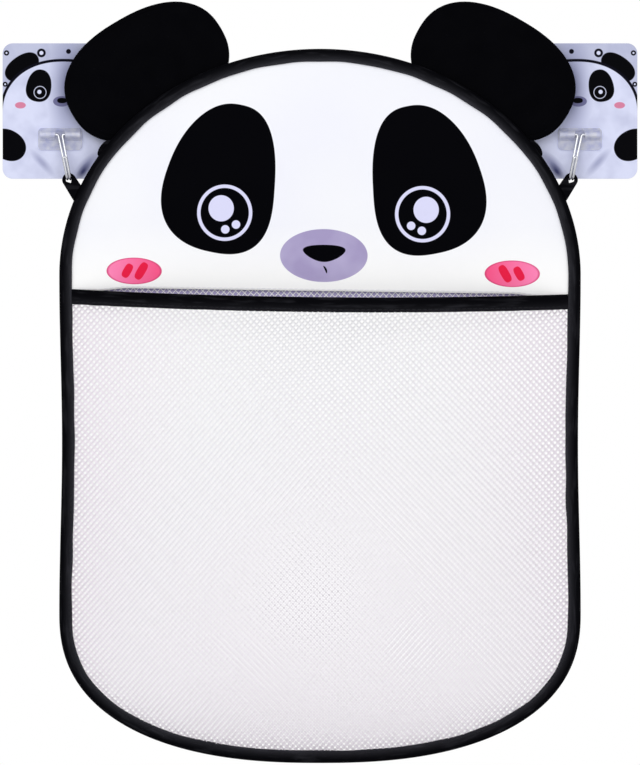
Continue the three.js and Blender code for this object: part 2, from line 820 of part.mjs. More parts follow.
// A hanging loop: a folded tape with a drop-shaped eye, sewn against the binding's edge
function makeLoop(side) {
  const away = new THREE.Vector2(side * (loopRoot.x - eyeOffset), loopRoot.y - eyeZ);
  const length = away.length();
  const eyeRadius = throatSpread + hookWire / 2 + loopPlay;
  const outerRadius = eyeRadius + loopStrand;
  const shape = new THREE.Shape();
  shape.absarc(0, 0, outerRadius, Math.PI / 2, 1.5 * Math.PI);
  shape.lineTo(length + overrun, -loopRootWidth / 2);
  shape.lineTo(length + overrun, loopRootWidth / 2);
  const eye = new THREE.Path();
  eye.absarc(0, 0, eyeRadius, Math.PI / 2, 1.5 * Math.PI);
  eye.lineTo(loopEyeLength, 0);
  shape.holes.push(eye);
  const loop = forward(shape, loopDepth, loopRounding);
  loop.rotateY(-Math.atan2(away.y, away.x));
  loop.translate(side * eyeOffset, loopDepth / 2 - bagMiddle, eyeZ);
  return cut(loop, bagBlock(loopRootGap));
}

// A side tab, the folded end of the ear's tape, pressed against the binding's edge
function makeTab(side) {
  const share = shareAtHeight(-tabDrop);
  const place = outlineAt(share, 0);
  const inward = inwardAt(share);
  const shape = new THREE.Shape();
  shape.absellipse(0, 0, tabHalfWidth, tabHalfLength, 0, 2 * Math.PI);
  const tab = forward(shape, tabThickness, bindingChamfer);
  tab.rotateY(-Math.atan2(-inward.y, -side * inward.x));
  tab.translate(side * place.x, tabThickness / 2 - bagMiddle, place.y);
  return cut(tab, bagBlock(fitGap));
}

// Assembly
function piece(name, geometry, finish) {
  const mesh = new THREE.Mesh(geometry, finish);
  mesh.name = name;
  return mesh;
}

function makePlate(side, sideName) {
  const plate = new THREE.Group();
  const less = 2 * adhesiveMargin;
  const padShape = roundedRectangle(plateWidth - less, plateHeight - less, plateCorner - adhesiveMargin);
  const pad = piece(`${sideName}_adhesive_pad`, forward(padShape, adhesiveThickness), adhesive);
  const sheetShape = roundedRectangle(plateWidth, plateHeight, plateCorner);
  const sheet = piece(`${sideName}_printed_plate`, forward(sheetShape, plateThickness), printedSheet);
  sheet.position.y = -adhesiveThickness;
  const boss = piece(`${sideName}_hook_boss`, makeBoss(), clearPlastic);
  boss.position.set(0, -plateFront, -bossCentreDrop);
  const hook = piece(`${sideName}_wire_hook`, makeHook(side), stainless);
  plate.add(pad, sheet, boss, hook);
  plate.position.x = side * plateOffset;
  return plate;
}

function makeBag() {
  const bag = new THREE.Group();
  bag.add(piece('edge_binding', makeEdgeBinding(), blackTape));
  bag.add(piece('spring_hoop', makeHoop(), springSteel));
  const ferrule = piece('hoop_ferrule', makeFerrule(), stainless);
  ferrule.position.set(0, -bagMiddle, outlineAt(0.5, hoopInset).y);
  bag.add(ferrule);
  const head = headShape(panelInset, -faceEdgeDrop);
  bag.add(piece('face_panel', forwardFrom(head, faceBack, faceThickness), faceCloth));
  bag.add(piece('face_lining', forwardFrom(head, liningBack, liningThickness), liningCloth));
  const whole = [0, backSteps];
  bag.add(piece('back_net', makeNet(backSurface, backSteps, backSteps, whole, whole), netYarn));
  for (let row = 0; row < patchRows; row += 1) {
    for (let column = 0; column < patchColumns; column += 1) {
      const span = (index) => [index * patchSteps, (index + 1) * patchSteps];
      const patch = makeNet(frontSurface, frontColumns, frontRows, span(column), span(row));
      bag.add(piece(`pocket_net_${row + 1}_${column + 1}`, patch, netYarn));
    }
  }
  bag.add(piece('mouth_band', makeMouthBand(), blackTape));
  for (const [side, name] of [[left, 'left'], [right, 'right']]) {
    const ear = makeEar(side);
    bag.add(piece(`${name}_ear_front`, ear.front, blackCloth));
    bag.add(piece(`${name}_ear_back`, ear.back, blackCloth));
    bag.add(piece(`${name}_ear_core`, ear.core, blackFoam));
    bag.add(piece(`${name}_hanging_loop`, makeLoop(side), blackTape));
    bag.add(piece(`${name}_side_tab`, makeTab(side), blackTape));
  }
  return bag;
}

const organizer = new THREE.Group();
organizer.add(makePlate(left, 'left'), makePlate(right, 'right'), makeBag());

export default organizer;
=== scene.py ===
import math
import bmesh
import bpy
import mathutils
import numpy as np
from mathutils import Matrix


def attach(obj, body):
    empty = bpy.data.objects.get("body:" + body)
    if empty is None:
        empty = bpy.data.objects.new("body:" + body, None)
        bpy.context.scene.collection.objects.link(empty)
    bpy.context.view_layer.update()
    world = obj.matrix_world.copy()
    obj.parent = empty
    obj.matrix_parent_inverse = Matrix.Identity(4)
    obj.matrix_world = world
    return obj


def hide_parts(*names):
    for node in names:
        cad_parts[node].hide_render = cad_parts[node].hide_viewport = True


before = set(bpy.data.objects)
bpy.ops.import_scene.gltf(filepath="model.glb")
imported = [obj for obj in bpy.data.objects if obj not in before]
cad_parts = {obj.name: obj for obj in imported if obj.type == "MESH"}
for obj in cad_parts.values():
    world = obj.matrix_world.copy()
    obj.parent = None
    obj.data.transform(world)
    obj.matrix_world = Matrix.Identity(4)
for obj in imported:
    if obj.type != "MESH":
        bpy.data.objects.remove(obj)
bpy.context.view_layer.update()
print("frame loaded,", len(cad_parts), "nodes")

mm = 0.001  # sizes below are millimetres, meshes are metres
tau = 2 * math.pi

# Camera: straight at the wall, as far off as a long lens needs
camera = {
    "distance": 6000,  # from the front of the binding
    "middle": (0.0, -160.3),  # x and z in the middle of the picture
    "span": 450.7,  # what the picture's long side covers there
}
stations = {  # distances in front of the wall
    "plateFront": 1.8,
    "pin": 4.4,
    "earBack": 6.9,
    "earFront": 9.9,
    "bindingBack": 10.2,
    "backNet": 11.75,
    "liningBack": 12.4,
    "faceBack": 13.3,
    "frontNet": 13.75,
    "bindingFront": 15.3,
}
bagMiddle = (stations["bindingBack"] + stations["bindingFront"]) / 2

lens = bpy.data.cameras.new("camera")
lens.sensor_width = 36
lens.lens = lens.sensor_width * camera["distance"] / camera["span"]
lens.clip_end = 40
cameraObject = bpy.data.objects.new("camera", lens)
cameraObject.location = (
    camera["middle"][0] * mm,
    -(camera["distance"] + stations["bindingFront"]) * mm,
    camera["middle"][1] * mm,
)
cameraObject.rotation_euler = (math.pi / 2, 0, 0)
bpy.context.collection.objects.link(cameraObject)
bpy.context.scene.camera = cameraObject
bpy.context.scene.view_settings.view_transform = "Standard"
print("camera set")


# Meshes

def gridFaces(rows, columns, closedRows=False, closedColumns=False):
    # The quads of a grid as point numbers, and each corner's row and column before it wraps round
    row, column = np.meshgrid(
        np.arange(rows if closedRows else rows - 1),
        np.arange(columns if closedColumns else columns - 1),
        indexing="ij",
    )
    cornerRow = np.stack([row, row, row + 1, row + 1], -1).reshape(-1, 4)
    cornerColumn = np.stack([column, column + 1, column + 1, column], -1).reshape(-1, 4)
    return cornerRow % rows * columns + cornerColumn % columns, cornerRow, cornerColumn


def faceOutward(points, faceSets):
    # The cones from the origin to each face, fan by fan; a volume below nought means inside out
    volume = 0.0
    for faces in faceSets:
        for corner in range(1, faces.shape[1] - 1):
            a, b, c = points[faces[:, 0]], points[faces[:, corner]], points[faces[:, corner + 1]]
            volume += np.einsum("ij,ij->", a, np.cross(b, c))
    return volume >= 0


def addPiece(name, points, faceSets, material, body, uvSets=None, smooth=True):
    # points: n by 3 in millimetres; faceSets: arrays of point numbers; uvSets: the same corners' u and v
    points = np.asarray(points, float).reshape(-1, 3)
    if not faceOutward(points, faceSets):
        faceSets = [faces[:, ::-1] for faces in faceSets]
        uvSets = uvSets and [uv[:, ::-1] for uv in uvSets]
    corners = np.concatenate([faces.ravel() for faces in faceSets])
    sizes = np.concatenate([np.full(len(faces), faces.shape[1]) for faces in faceSets])
    mesh = bpy.data.meshes.new(name)
    mesh.vertices.add(len(points))
    mesh.vertices.foreach_set("co", (points * mm).astype(np.float32).ravel())
    mesh.loops.add(len(corners))
    mesh.loops.foreach_set("vertex_index", corners.astype(np.int32))
    mesh.polygons.add(len(sizes))
    mesh.polygons.foreach_set("loop_start", (np.cumsum(sizes) - sizes).astype(np.int32))
    mesh.polygons.foreach_set("use_smooth", np.full(len(sizes), smooth))
    if uvSets:
        layer = mesh.uv_layers.new(name="cloth")
        uv = np.concatenate([uv.reshape(-1) for uv in uvSets])
        layer.data.foreach_set("uv", uv.astype(np.float32))
    mesh.update(calc_edges=True)
    mesh.materials.append(material)
    piece = bpy.data.objects.new(name, mesh)
    bpy.context.collection.objects.link(piece)
    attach(piece, body)
    return piece


def slabFaces(rows, columns):
    # Two grids, the second behind the first, joined by a rim of quads
    count = rows * columns
    faces = gridFaces(rows, columns)[0]
    grid = np.arange(count).reshape(rows, columns)
    ring = np.concatenate([grid[0], grid[1:, -1], grid[-1, -2::-1], grid[-2:0:-1, 0]])
    after = np.roll(ring, -1)
    rim = np.stack([after, ring, ring + count, after + count], -1)
    return [faces, faces[:, ::-1] + count, rim]


def slabPoints(x, y, z, thickness):
    # The points of a grid, and the same points a thickness nearer to the wall
    front = np.stack([x, y, z], -1).reshape(-1, 3)
    return np.concatenate([front, front + (0, thickness, 0)])


def endFans(count, last, ends):
    # Triangles from the first ring of so many points to one end point, and from the last to the other
    here = np.arange(count)
    after = (here + 1) % count
    return np.concatenate([
        np.stack([after, here, np.full(count, ends[0])], -1),
        np.stack([last + here, last + after, np.full(count, ends[1])], -1),
    ])


def endCaps(count, last):
    # One face over the first ring of so many points, and one over the last
    return np.array([np.arange(count)[::-1], last + np.arange(count)])


def wayRound(section, gap):
    # How far round a closed section each of its points lies, and the whole way with the closing gap
    way = np.concatenate([[0], np.cumsum(np.linalg.norm(np.diff(section, axis=0), axis=1))])
    return np.append(way, way[-1] + gap)


def unit(vectors):
    # Vectors divided by their own lengths
    return vectors / np.maximum(np.linalg.norm(vectors, axis=-1, keepdims=True), 1e-9)


def ripple(place, waves, seed, lowest=2):
    # A smooth closed curve of random waves, about 1 high, as place runs from 0 to 1
    draw = np.random.default_rng(seed)
    total = np.zeros_like(place, dtype=float)
    for wave in range(lowest, lowest + waves):
        total += draw.normal() * np.sin(tau * (wave * place + draw.random()))
    return total / math.sqrt(waves)


def spread(x, z, seed, size, waves=14):
    # Random plane waves of about one wavelength added up, about 1 high
    draw = np.random.default_rng(seed)
    total = np.zeros(np.broadcast(x, z).shape)
    for _ in range(waves):
        angle, length = draw.random() * tau, size * (0.6 + draw.random())
        total += np.sin(tau * ((x * math.cos(angle) + z * math.sin(angle)) / length + draw.random()))
    return total * math.sqrt(2 / waves)


# Outline of the bag

bag = {
    "halfWidth": 153.7,
    "springDrop": 97,
    "headRise": 133.4,
    "sideLength": 199,
    "waist": 1.6,
    "footDrop": 88.6,
    "footPower": 2.4,
    "samples": 6000,  # for each of its six parts
}


def outlineTable():
    # Right half from the top: x = w sin, z = rise cos - spring; then a side drawn in by waist sin^2;
    # then x = w cos^(2/n), z falls by drop sin^(2/n). The left half mirrors it. Shares go by length.
    t = np.linspace(0, 1, bag["samples"])
    angle = t * math.pi / 2
    power = 2 / bag["footPower"]
    x = np.concatenate([
        bag["halfWidth"] * np.sin(angle),
        bag["halfWidth"] - bag["waist"] * np.sin(t * math.pi)[1:] ** 2,
        (bag["halfWidth"] * np.abs(np.cos(angle)) ** power)[1:],
    ])
    z = np.concatenate([
        bag["headRise"] * np.cos(angle) - bag["springDrop"],
        (-bag["springDrop"] - bag["sideLength"] * t)[1:],
        (-bag["springDrop"] - bag["sideLength"] - bag["footDrop"] * np.sin(angle) ** power)[1:],
    ])
    x = np.concatenate([x, -x[-2::-1]])
    z = np.concatenate([z, z[-2::-1]])
    length = np.concatenate([[0], np.cumsum(np.hypot(np.diff(x), np.diff(z)))])
    tangent = unit(np.stack([np.gradient(x, length), np.gradient(z, length)], -1))
    return {"share": length / length[-1], "x": x, "z": z, "tangent": tangent, "length": length[-1]}


outline = outlineTable()


def outlineAt(share, inset):
    # A point of the outline moved inwards, at right angles to it
    share = np.asarray(share, float) % 1
    x, z = (np.interp(share, outline["share"], outline[axis]) for axis in ("x", "z"))
    along = [np.interp(share, outline["share"], outline["tangent"][:, axis]) for axis in (0, 1)]
    return np.stack([x + along[1] * inset, z - along[0] * inset], -1)


def inwardAt(share):
    # The way inwards: from the outline to its inset by 1
    return unit(outlineAt(share, 1) - outlineAt(share, 0))


def shareAtHeight(z):
    # Where the outline's right half passes a height, as a share of the way round
    half = outline["share"] <= 0.5
    return float(np.interp(-z, -outline["z"][half], outline["share"][half]))


def halfWidthAt(z, inset):
    # How wide half the inset outline is at a height
    rim = outlineAt(np.linspace(0, 0.5, 3000), inset)
    return np.interp(-np.asarray(z, float), -rim[:, 1], rim[:, 0])


# Materials

def newMaterial(name, **values):
    # A node material; the values are set on the shader's own sockets
    material = bpy.data.materials.new(name)
    material.use_nodes = True
    tree = material.node_tree
    shader = tree.nodes["Principled BSDF"]
    for socket, value in values.items():
        shader.inputs[socket.replace("_", " ")].default_value = value
    return material, tree, shader


def maths(tree, operation, *values, clamp=False):
    # One sum; each value is a number or another node's output
    node = tree.nodes.new("ShaderNodeMath")
    node.operation = operation
    node.use_clamp = clamp
    for socket, value in zip(node.inputs, values):
        if isinstance(value, bpy.types.NodeSocket):
            tree.links.new(value, socket)
        else:
            socket.default_value = value
    return node.outputs[0]


def placeIn(tree, source="Object"):
    # x, y and z of Object coordinates in millimetres, or u and v of the cloth map
    if source == "Object":
        start = tree.nodes.new("ShaderNodeTexCoord").outputs["Object"]
    else:
        mapNode = tree.nodes.new("ShaderNodeUVMap")
        mapNode.uv_map = "cloth"
        start = mapNode.outputs[0]
    scale = tree.nodes.new("ShaderNodeVectorMath")
    scale.operation = "SCALE"
    scale.inputs["Scale"].default_value = 1 / mm
    tree.links.new(start, scale.inputs[0])
    split = tree.nodes.new("ShaderNodeSeparateXYZ")
    tree.links.new(scale.outputs[0], split.inputs[0])
    return scale.outputs[0], split.outputs


def noise(tree, vector, scale, detail=2.0):
    # Noise of so many lumps to the millimetre
    node = tree.nodes.new("ShaderNodeTexNoise")
    node.inputs["Scale"].default_value = scale
    node.inputs["Detail"].default_value = detail
    tree.links.new(vector, node.inputs["Vector"])
    return node.outputs["Fac"]


def remap(tree, value, low, high, newLow=0.0, newHigh=1.0):
    # A straight line from low and high to two new values, level beyond them
    node = tree.nodes.new("ShaderNodeMapRange")
    for socket, number in zip(list(node.inputs)[1:5], (low, high, newLow, newHigh)):
        socket.default_value = number
    tree.links.new(value, node.inputs[0])
    return node.outputs[0]


def mixColour(tree, factor, first, second):
    # The first colour where the factor is 0, the second where it is 1
    node = tree.nodes.new("ShaderNodeMix")
    node.data_type = "RGBA"
    for socket, value in ((node.inputs[0], factor), (node.inputs[6], first), (node.inputs[7], second)):
        if isinstance(value, bpy.types.NodeSocket):
            tree.links.new(value, socket)
        elif isinstance(value, (int, float)):
            socket.default_value = value
        else:
            socket.default_value = (*value, 1)
    return node.outputs[2]


def addBump(tree, shader, height, distance, strength):
    # height is 0 to 1 and stands for distance in millimetres
    node = tree.nodes.new("ShaderNodeBump")
    node.inputs["Distance"].default_value = distance * mm
    node.inputs["Strength"].default_value = strength
    tree.links.new(height, node.inputs["Height"])
    tree.links.new(node.outputs[0], shader.inputs["Normal"])


def weave(tree, u, v, pitch):
    # Plain weave, 0 to 1: the product of two sines, one along the warp and one along the weft
    warp = maths(tree, "SINE", maths(tree, "MULTIPLY", u, math.pi / pitch))
    weft = maths(tree, "SINE", maths(tree, "MULTIPLY", v, math.pi / pitch))
    return maths(tree, "MULTIPLY_ADD", maths(tree, "MULTIPLY", warp, weft), 0.5, 0.5)


def srgb(red, green, blue):
    # Linear values of a colour written from 0 to 255
    share = np.array([red, green, blue]) / 255
    return tuple(np.where(share <= 0.04045, share / 12.92, ((share + 0.055) / 1.055) ** 2.4).tolist())


def paint(tree, colour, layers):
    # Each layer is a mask and the tone that it lays over what is there
    for mask, tone in layers:
        colour = mixColour(tree, mask, colour, tone)
    return colour


def makeMottled(name, look, **values):
    # Two tones mixed by noise, and two roughnesses where gloss gives them
    material, tree, shader = newMaterial(name, **values)
    tone = noise(tree, placeIn(tree)[0], *look["noise"])
    colour = mixColour(tree, tone, srgb(*look["dark"]), srgb(*look["light"]))
    tree.links.new(colour, shader.inputs["Base Color"])
    if "gloss" in look:
        tree.links.new(remap(tree, tone, 0.3, 0.7, *look["gloss"]), shader.inputs["Roughness"])
    return material


def makeWoven(name, look, **values):
    # Cloth whose tone is a share of its weave plus a share of noise, with the weave raised
    material, tree, shader = newMaterial(name, **values)
    vector, axes = placeIn(tree)
    pattern = weave(tree, axes[0], axes[2], look["pitch"])
    ofWeave, ofNoise = look["shares"]
    patches = maths(tree, "MULTIPLY", noise(tree, vector, *look["noise"]), ofNoise)
    tone = maths(tree, "MULTIPLY_ADD", pattern, ofWeave, patches)
    colour = mixColour(tree, tone, srgb(*look["dark"]), srgb(*look["light"]))
    tree.links.new(colour, shader.inputs["Base Color"])
    addBump(tree, shader, pattern, *look["relief"])
    return material


tapeLook = {
    "pitch": 0.55,
    "depth": 0.09,
    "dark": (0, 0, 2),
    "light": (60, 60, 66),
    "fold": 9.2,  # how far across the tape its fold lies
    "edgeLightFrom": 2.8,  # how far from the fold the painted light on its open edges starts
    "stretch": (0.14, 1, 1),  # of the painted sheen's noise, so that its streaks run along the tape
    "paintedShadingStreaks": (0.04, 0.34),  # share of the light tone in the painted sheen streaks, at least and at most
    "patches": (0.12, 3.0),  # noise of its gloss: lumps to the millimetre, and detail
    "gloss": (0.42, 0.6),  # the least and the most roughness
}


def makeTape(name, source, paintedEdgeLight=0.0):
    # Black plain-woven tape with painted sheen in paler streaks along it; painted light makes it paler by
    # a square towards its open edges, up to the share that the last argument gives
    material, tree, shader = newMaterial(
        name, Sheen_Weight=0.001, Sheen_Roughness=0.5, Specular_IOR_Level=0.012
    )
    vector, axes = placeIn(tree, source)
    u, v = (axes[0], axes[2]) if source == "Object" else (axes[0], axes[1])
    pattern = weave(tree, u, v, tapeLook["pitch"])
    stretch = tree.nodes.new("ShaderNodeVectorMath")
    stretch.operation = "MULTIPLY"
    stretch.inputs[1].default_value = tapeLook["stretch"]
    tree.links.new(vector, stretch.inputs[0])
    # Painted sheen: paler streaks of noise stretched along the tape
    paintedShading = remap(tree, noise(tree, stretch.outputs[0], 0.4), 0.52, 0.8, *tapeLook["paintedShadingStreaks"])
    # Painted light: paler towards the open edges, by the square of the way from the fold
    if paintedEdgeLight:
        apart = maths(tree, "ABSOLUTE", maths(tree, "SUBTRACT", v, tapeLook["fold"]))
        edgeLightRamp = remap(tree, apart, tapeLook["edgeLightFrom"], tapeLook["fold"])
        paintedShading = maths(tree, "MULTIPLY_ADD", maths(tree, "POWER", edgeLightRamp, 2.0), paintedEdgeLight, paintedShading)
    tone = maths(tree, "MULTIPLY", paintedShading, maths(tree, "MULTIPLY_ADD", pattern, 0.5, 0.75))
    colour = mixColour(tree, tone, srgb(*tapeLook["dark"]), srgb(*tapeLook["light"]))
    tree.links.new(colour, shader.inputs["Base Color"])
    patches = noise(tree, vector, *tapeLook["patches"])
    tree.links.new(remap(tree, patches, 0.3, 0.7, *tapeLook["gloss"]), shader.inputs["Roughness"])
    addBump(tree, shader, pattern, tapeLook["depth"], 0.6)
    return material


# The last number is the share of painted light towards the tape's open edges
tapeMaterial = makeTape("blackTape", "cloth", 0.7)
bandMaterial = makeTape("blackTapeBand", "cloth", 0.3)
tapeBlock = makeTape("blackTapeBlock", "Object")
# In each look, noise is lumps to the millimetre and detail, and gloss the least and the most roughness
threadLook = {"noise": (2.5, 2.0), "dark": (7, 7, 10), "light": (26, 26, 33)}
threadMaterial = makeMottled(
    "blackThread", threadLook, Roughness=0.5, Sheen_Weight=0.02, Specular_IOR_Level=0.15
)
# The drawn wires' fine lines are too small to see, so only their tone and gloss vary
wireLook = {
    "noise": (0.4, 3.0), "dark": (178, 180, 186), "light": (222, 223, 228), "gloss": (0.16, 0.25),
}
springLook = {
    "noise": (0.4, 3.0), "dark": (120, 122, 128), "light": (165, 167, 172), "gloss": (0.24, 0.375),
}
stainlessMaterial = makeMottled("stainlessWire", wireLook, Metallic=1.0)
springMaterial = makeMottled("springWire", springLook, Metallic=1.0)
print("shared materials made")


# Edge binding

binding = {
    "width": 7.5,
    "tape": 0.9,
    "stations": 760,  # sections round the outline
    "stitchLine": 5.8,  # how far in from the outer edge
    "pinch": 0.32,  # how deep the thread draws the tape in
    "wander": 0.16,  # how far the inner edge strays
    "lumps": 0.11,  # how far its faces swell
    "stitch": {"length": 2.5, "pitch": 3.4, "radius": 0.2},
}
halfBinding = (stations["bindingFront"] - stations["bindingBack"]) / 2


def foldedSection(reach, half, tape, pinchAt, pinch, around=11):
    # A tape folded in two: out along one face, round the fold by a half circle, back along the other
    # face, and the same way back on the inside, one tape's thickness less. Columns: in from the fold, and
    # height over the middle. The outer faces dip by a bell curve at the stitches and by an exponential at
    # their open edges.
    def turn(radius, points):
        angle = np.linspace(math.pi / 2, -math.pi / 2, points)
        return np.stack([half - radius * np.cos(angle), radius * np.sin(angle)], -1)

    bell, rounding = 0.7, 0.3
    steps, insideSteps = 9, 4
    into = np.linspace(reach, half, steps, endpoint=False)
    dip = pinch * np.exp(-(((into - pinchAt) / bell) ** 2)) + rounding * np.exp((into - reach) / rounding)
    face = np.stack([into, half - dip], -1)
    outer = np.concatenate([face, turn(half, around), (face * (1, -1))[::-1]])
    into = np.linspace(reach, half, insideSteps, endpoint=False)
    innerFace = np.stack([into, np.full(insideSteps, half - tape)], -1)
    inner = np.concatenate([innerFace, turn(half - tape, 7), (innerFace * (1, -1))[::-1]])
    return np.concatenate([outer, inner[::-1]])


def makeBinding():
    # The folded section carried round the outline; its inner edge strays and its faces swell by waves
    section = foldedSection(
        binding["width"], halfBinding, binding["tape"], binding["stitchLine"], binding["pinch"]
    )
    share = np.arange(binding["stations"]) / binding["stations"]
    weight = (section[:, 0] / binding["width"]) ** 2
    inset = section[:, 0] + binding["wander"] * weight * ripple(share, 34, 3, 20)[:, None]
    lumps = binding["lumps"] / halfBinding * ripple(share, 30, 4, 14)[:, None]
    height = section[:, 1] * (1 + lumps * np.abs(section[:, 1]) / halfBinding)
    base, inward = outlineAt(share, 0), inwardAt(share)
    flat = base[:, None] + inward[:, None] * inset[..., None]
    points = np.stack([flat[..., 0], -bagMiddle - height, flat[..., 1]], -1)
    faces, row, column = gridFaces(*points.shape[:2], True, True)
    across = wayRound(section, binding["tape"])
    uv = np.stack([row * outline["length"] / binding["stations"], across[column]], -1) * mm
    piece = addPiece("edge_binding_tape", points, [faces], tapeMaterial, "bag", [uv])
    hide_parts("edge_binding")


threadProud = 0.04  # how far a stitch stands out of the dip that it draws in


def addStitches(name, centres, along, out, stitch, material):
    # Each stitch is a spindle: rings along it whose radius is that of the thread times sqrt(1 - t^4),
    # flattened to two thirds outwards, between two end points
    t = np.array([-0.94, -0.6, 0.0, 0.6, 0.94])
    sides, flattened = 6, 0.66
    angle = np.arange(sides) / sides * tau
    along, out = unit(along), unit(out)
    side = np.cross(along, out)
    radius = (stitch["radius"] * np.sqrt(1 - t**4))[:, None]
    rings = (
        centres[:, None, None]
        + along[:, None, None] * (t * stitch["length"] / 2)[:, None, None]
        + side[:, None, None] * (radius * np.cos(angle))[..., None]
        + out[:, None, None] * (radius * np.sin(angle) * flattened)[..., None]
    ).reshape(len(centres), -1, 3)
    ends = centres[:, None] + along[:, None] * np.array([-0.5, 0.5])[:, None] * stitch["length"]
    points = np.concatenate([rings, ends], 1)
    count = points.shape[1]
    quads = gridFaces(len(t), sides, False, True)[0]
    fans = endFans(sides, sides * (len(t) - 1), (count - 2, count - 1))
    shift = (np.arange(len(centres)) * count)[:, None, None]
    faceSets = [(shape + shift).reshape(-1, shape.shape[1]) for shape in (quads, fans)]
    return addPiece(name, points, faceSets, material, "bag")


def bindingStitches(face, name):
    # A row of stitches on one face of the binding, 1 for the front and -1 for the back
    stitch = binding["stitch"]
    count = int(outline["length"] / stitch["pitch"])
    share = (np.arange(count) + (0.5 if face < 0 else 0)) / count
    place, inward = outlineAt(share, binding["stitchLine"]), inwardAt(share)
    height = halfBinding - binding["pinch"] + threadProud
    centres = np.stack([place[:, 0], np.full(count, -bagMiddle - face * height), place[:, 1]], -1)
    along = np.stack([-inward[:, 1], np.zeros(count), inward[:, 0]], -1)
    lean = np.random.default_rng(11 + face).normal(0, 0.05, count)[:, None]
    along = along + np.stack([inward[:, 0], np.zeros(count), inward[:, 1]], -1) * lean
    out = np.tile([0.0, -face, 0.0], (count, 1))
    return addStitches(name, centres, along, out, stitch, threadMaterial)


makeBinding()
bindingStitches(1, "binding_stitches_front")
bindingStitches(-1, "binding_stitches_back")
print("edge binding made")


# Face panel and lining

head = {
    "inset": 4.2,
    "edgeDrop": 105.4,
    "lean": (1.0, 0.0145),  # how far the edge hangs down, in the middle and per millimetre to the right
    "cornerFall": 2.0,  # how much lower again at its two ends
    "fallFrom": 112,  # how far from the middle that starts
    "fallOver": 22,
    "thickness": 0.6,
    "bow": 0.6,  # how far the cloth stands out in the middle
    "creases": 0.07,  # height of the cloth's slow waves
    "rows": 150,
    "columns": 180,
    "hemStitch": {"length": 2.3, "pitch": 3.2, "radius": 0.14},
    "hemLine": 1.1,  # height of the hem's stitches over the lower edge
}
facePrint = {  # printed shapes on the panel, from the print's own middle, x to the side and z up
    "middle": 2.3,
    "turn": 0.43,  # degrees
    "pivotDrop": 40.0,  # how far under the hook line it turns
    "patch": {
        "at": (60.45, -39.9), "half": (32.1, 44.3), "tilt": 11.3, "taper": 0.194, "power": 2.45,
        "bend": -2.86,
    },
    "ringOuter": {"at": (58.3, -60.7), "half": (16.25, 16.6)},
    "ringInner": {"at": (58.3, -60.7), "half": (14.25, 14.6)},
    "glintLarge": {"at": (60.4, -58.1), "half": (7.45, 7.7)},
    "glintLow": {"at": (57.9, -70.5), "half": (2.5, 2.5)},
    "glintInner": {"at": (51.6, -67.6), "half": (2.5, 2.5)},
    "muzzle": {"at": (0.3, -85.5), "half": (25.8, 15.6)},
    "nose": {"at": (0.5, -84.2), "half": (11.54, 5.06), "tilt": 180, "taper": 0.403, "power": 2.23},
    "mouth": {"at": (1.45, -93.6), "half": (0.62, 2.4), "tilt": 25, "bend": -0.4},
    "cheek": {"at": (111.4, -95.4), "half": (16.3, 7.85)},
    "dashOuter": {"at": (115.4, -95.3), "half": (2.4, 4.4), "tilt": 29, "power": 3},
    "dashInner": {"at": (107.2, -95.4), "half": (2.5, 5.5), "tilt": 30, "power": 3},
}
printColours = {
    "cloth": (248, 249, 253),
    "clothCool": (244, 245, 253),
    # painted light, laid over the cloth's lower part
    "paintedLightLow": (255, 255, 255),
    "ink": (1, 1, 4),
    "lavender": (221, 221, 250),
    "muzzle": (168, 157, 198),
    "muzzleLight": (185, 176, 212),
    "pink": (250, 92, 142),
    "pinkLight": (255, 138, 187),
    "pinkEdge": (214, 66, 118),
    "red": (234, 34, 72),
}


def shapeValue(tree, x, z, shape):
    # (|u / a|^n + |(v - bend (u/a)^2) / (b (1 - taper u/a))|^n)^(1/n), with u up the shape's own axis
    # and v across it; 1 on its edge
    (atX, atZ), (b, a) = shape["at"], shape["half"]
    tilt = math.radians(shape.get("tilt", 0))
    power, taper, bend = shape.get("power", 2), shape.get("taper", 0), shape.get("bend", 0)
    s, c = math.sin(tilt), math.cos(tilt)

    def turned(first, second, size):
        # first x + second z, measured from the shape's middle and divided by a size
        offset = -(first * atX + second * atZ) / size
        inner = maths(tree, "MULTIPLY_ADD", z, second / size, offset)
        return maths(tree, "MULTIPLY_ADD", x, first / size, inner)

    u, v = turned(-s, c, a), turned(c, s, b)
    if bend:
        v = maths(tree, "MULTIPLY_ADD", maths(tree, "MULTIPLY", u, u), -bend / b, v)
    if taper:
        v = maths(tree, "DIVIDE", v, maths(tree, "MULTIPLY_ADD", u, -taper, 1.0))
    terms = [maths(tree, "POWER", maths(tree, "ABSOLUTE", axis), power) for axis in (u, v)]
    return maths(tree, "POWER", maths(tree, "ADD", *terms), 1 / power)


def inside(tree, value, size, soft=0.22):
    # 1 inside a shape, 0 outside, over a soft edge given in millimetres
    slope = size / soft
    return maths(tree, "MULTIPLY_ADD", value, -slope, slope + 0.5, clamp=True)


def both(tree, first, second):
    # The product of two masks
    return maths(tree, "MULTIPLY", first, second)


def invert(tree, value):
    # One less the mask
    return maths(tree, "SUBTRACT", 1.0, value)


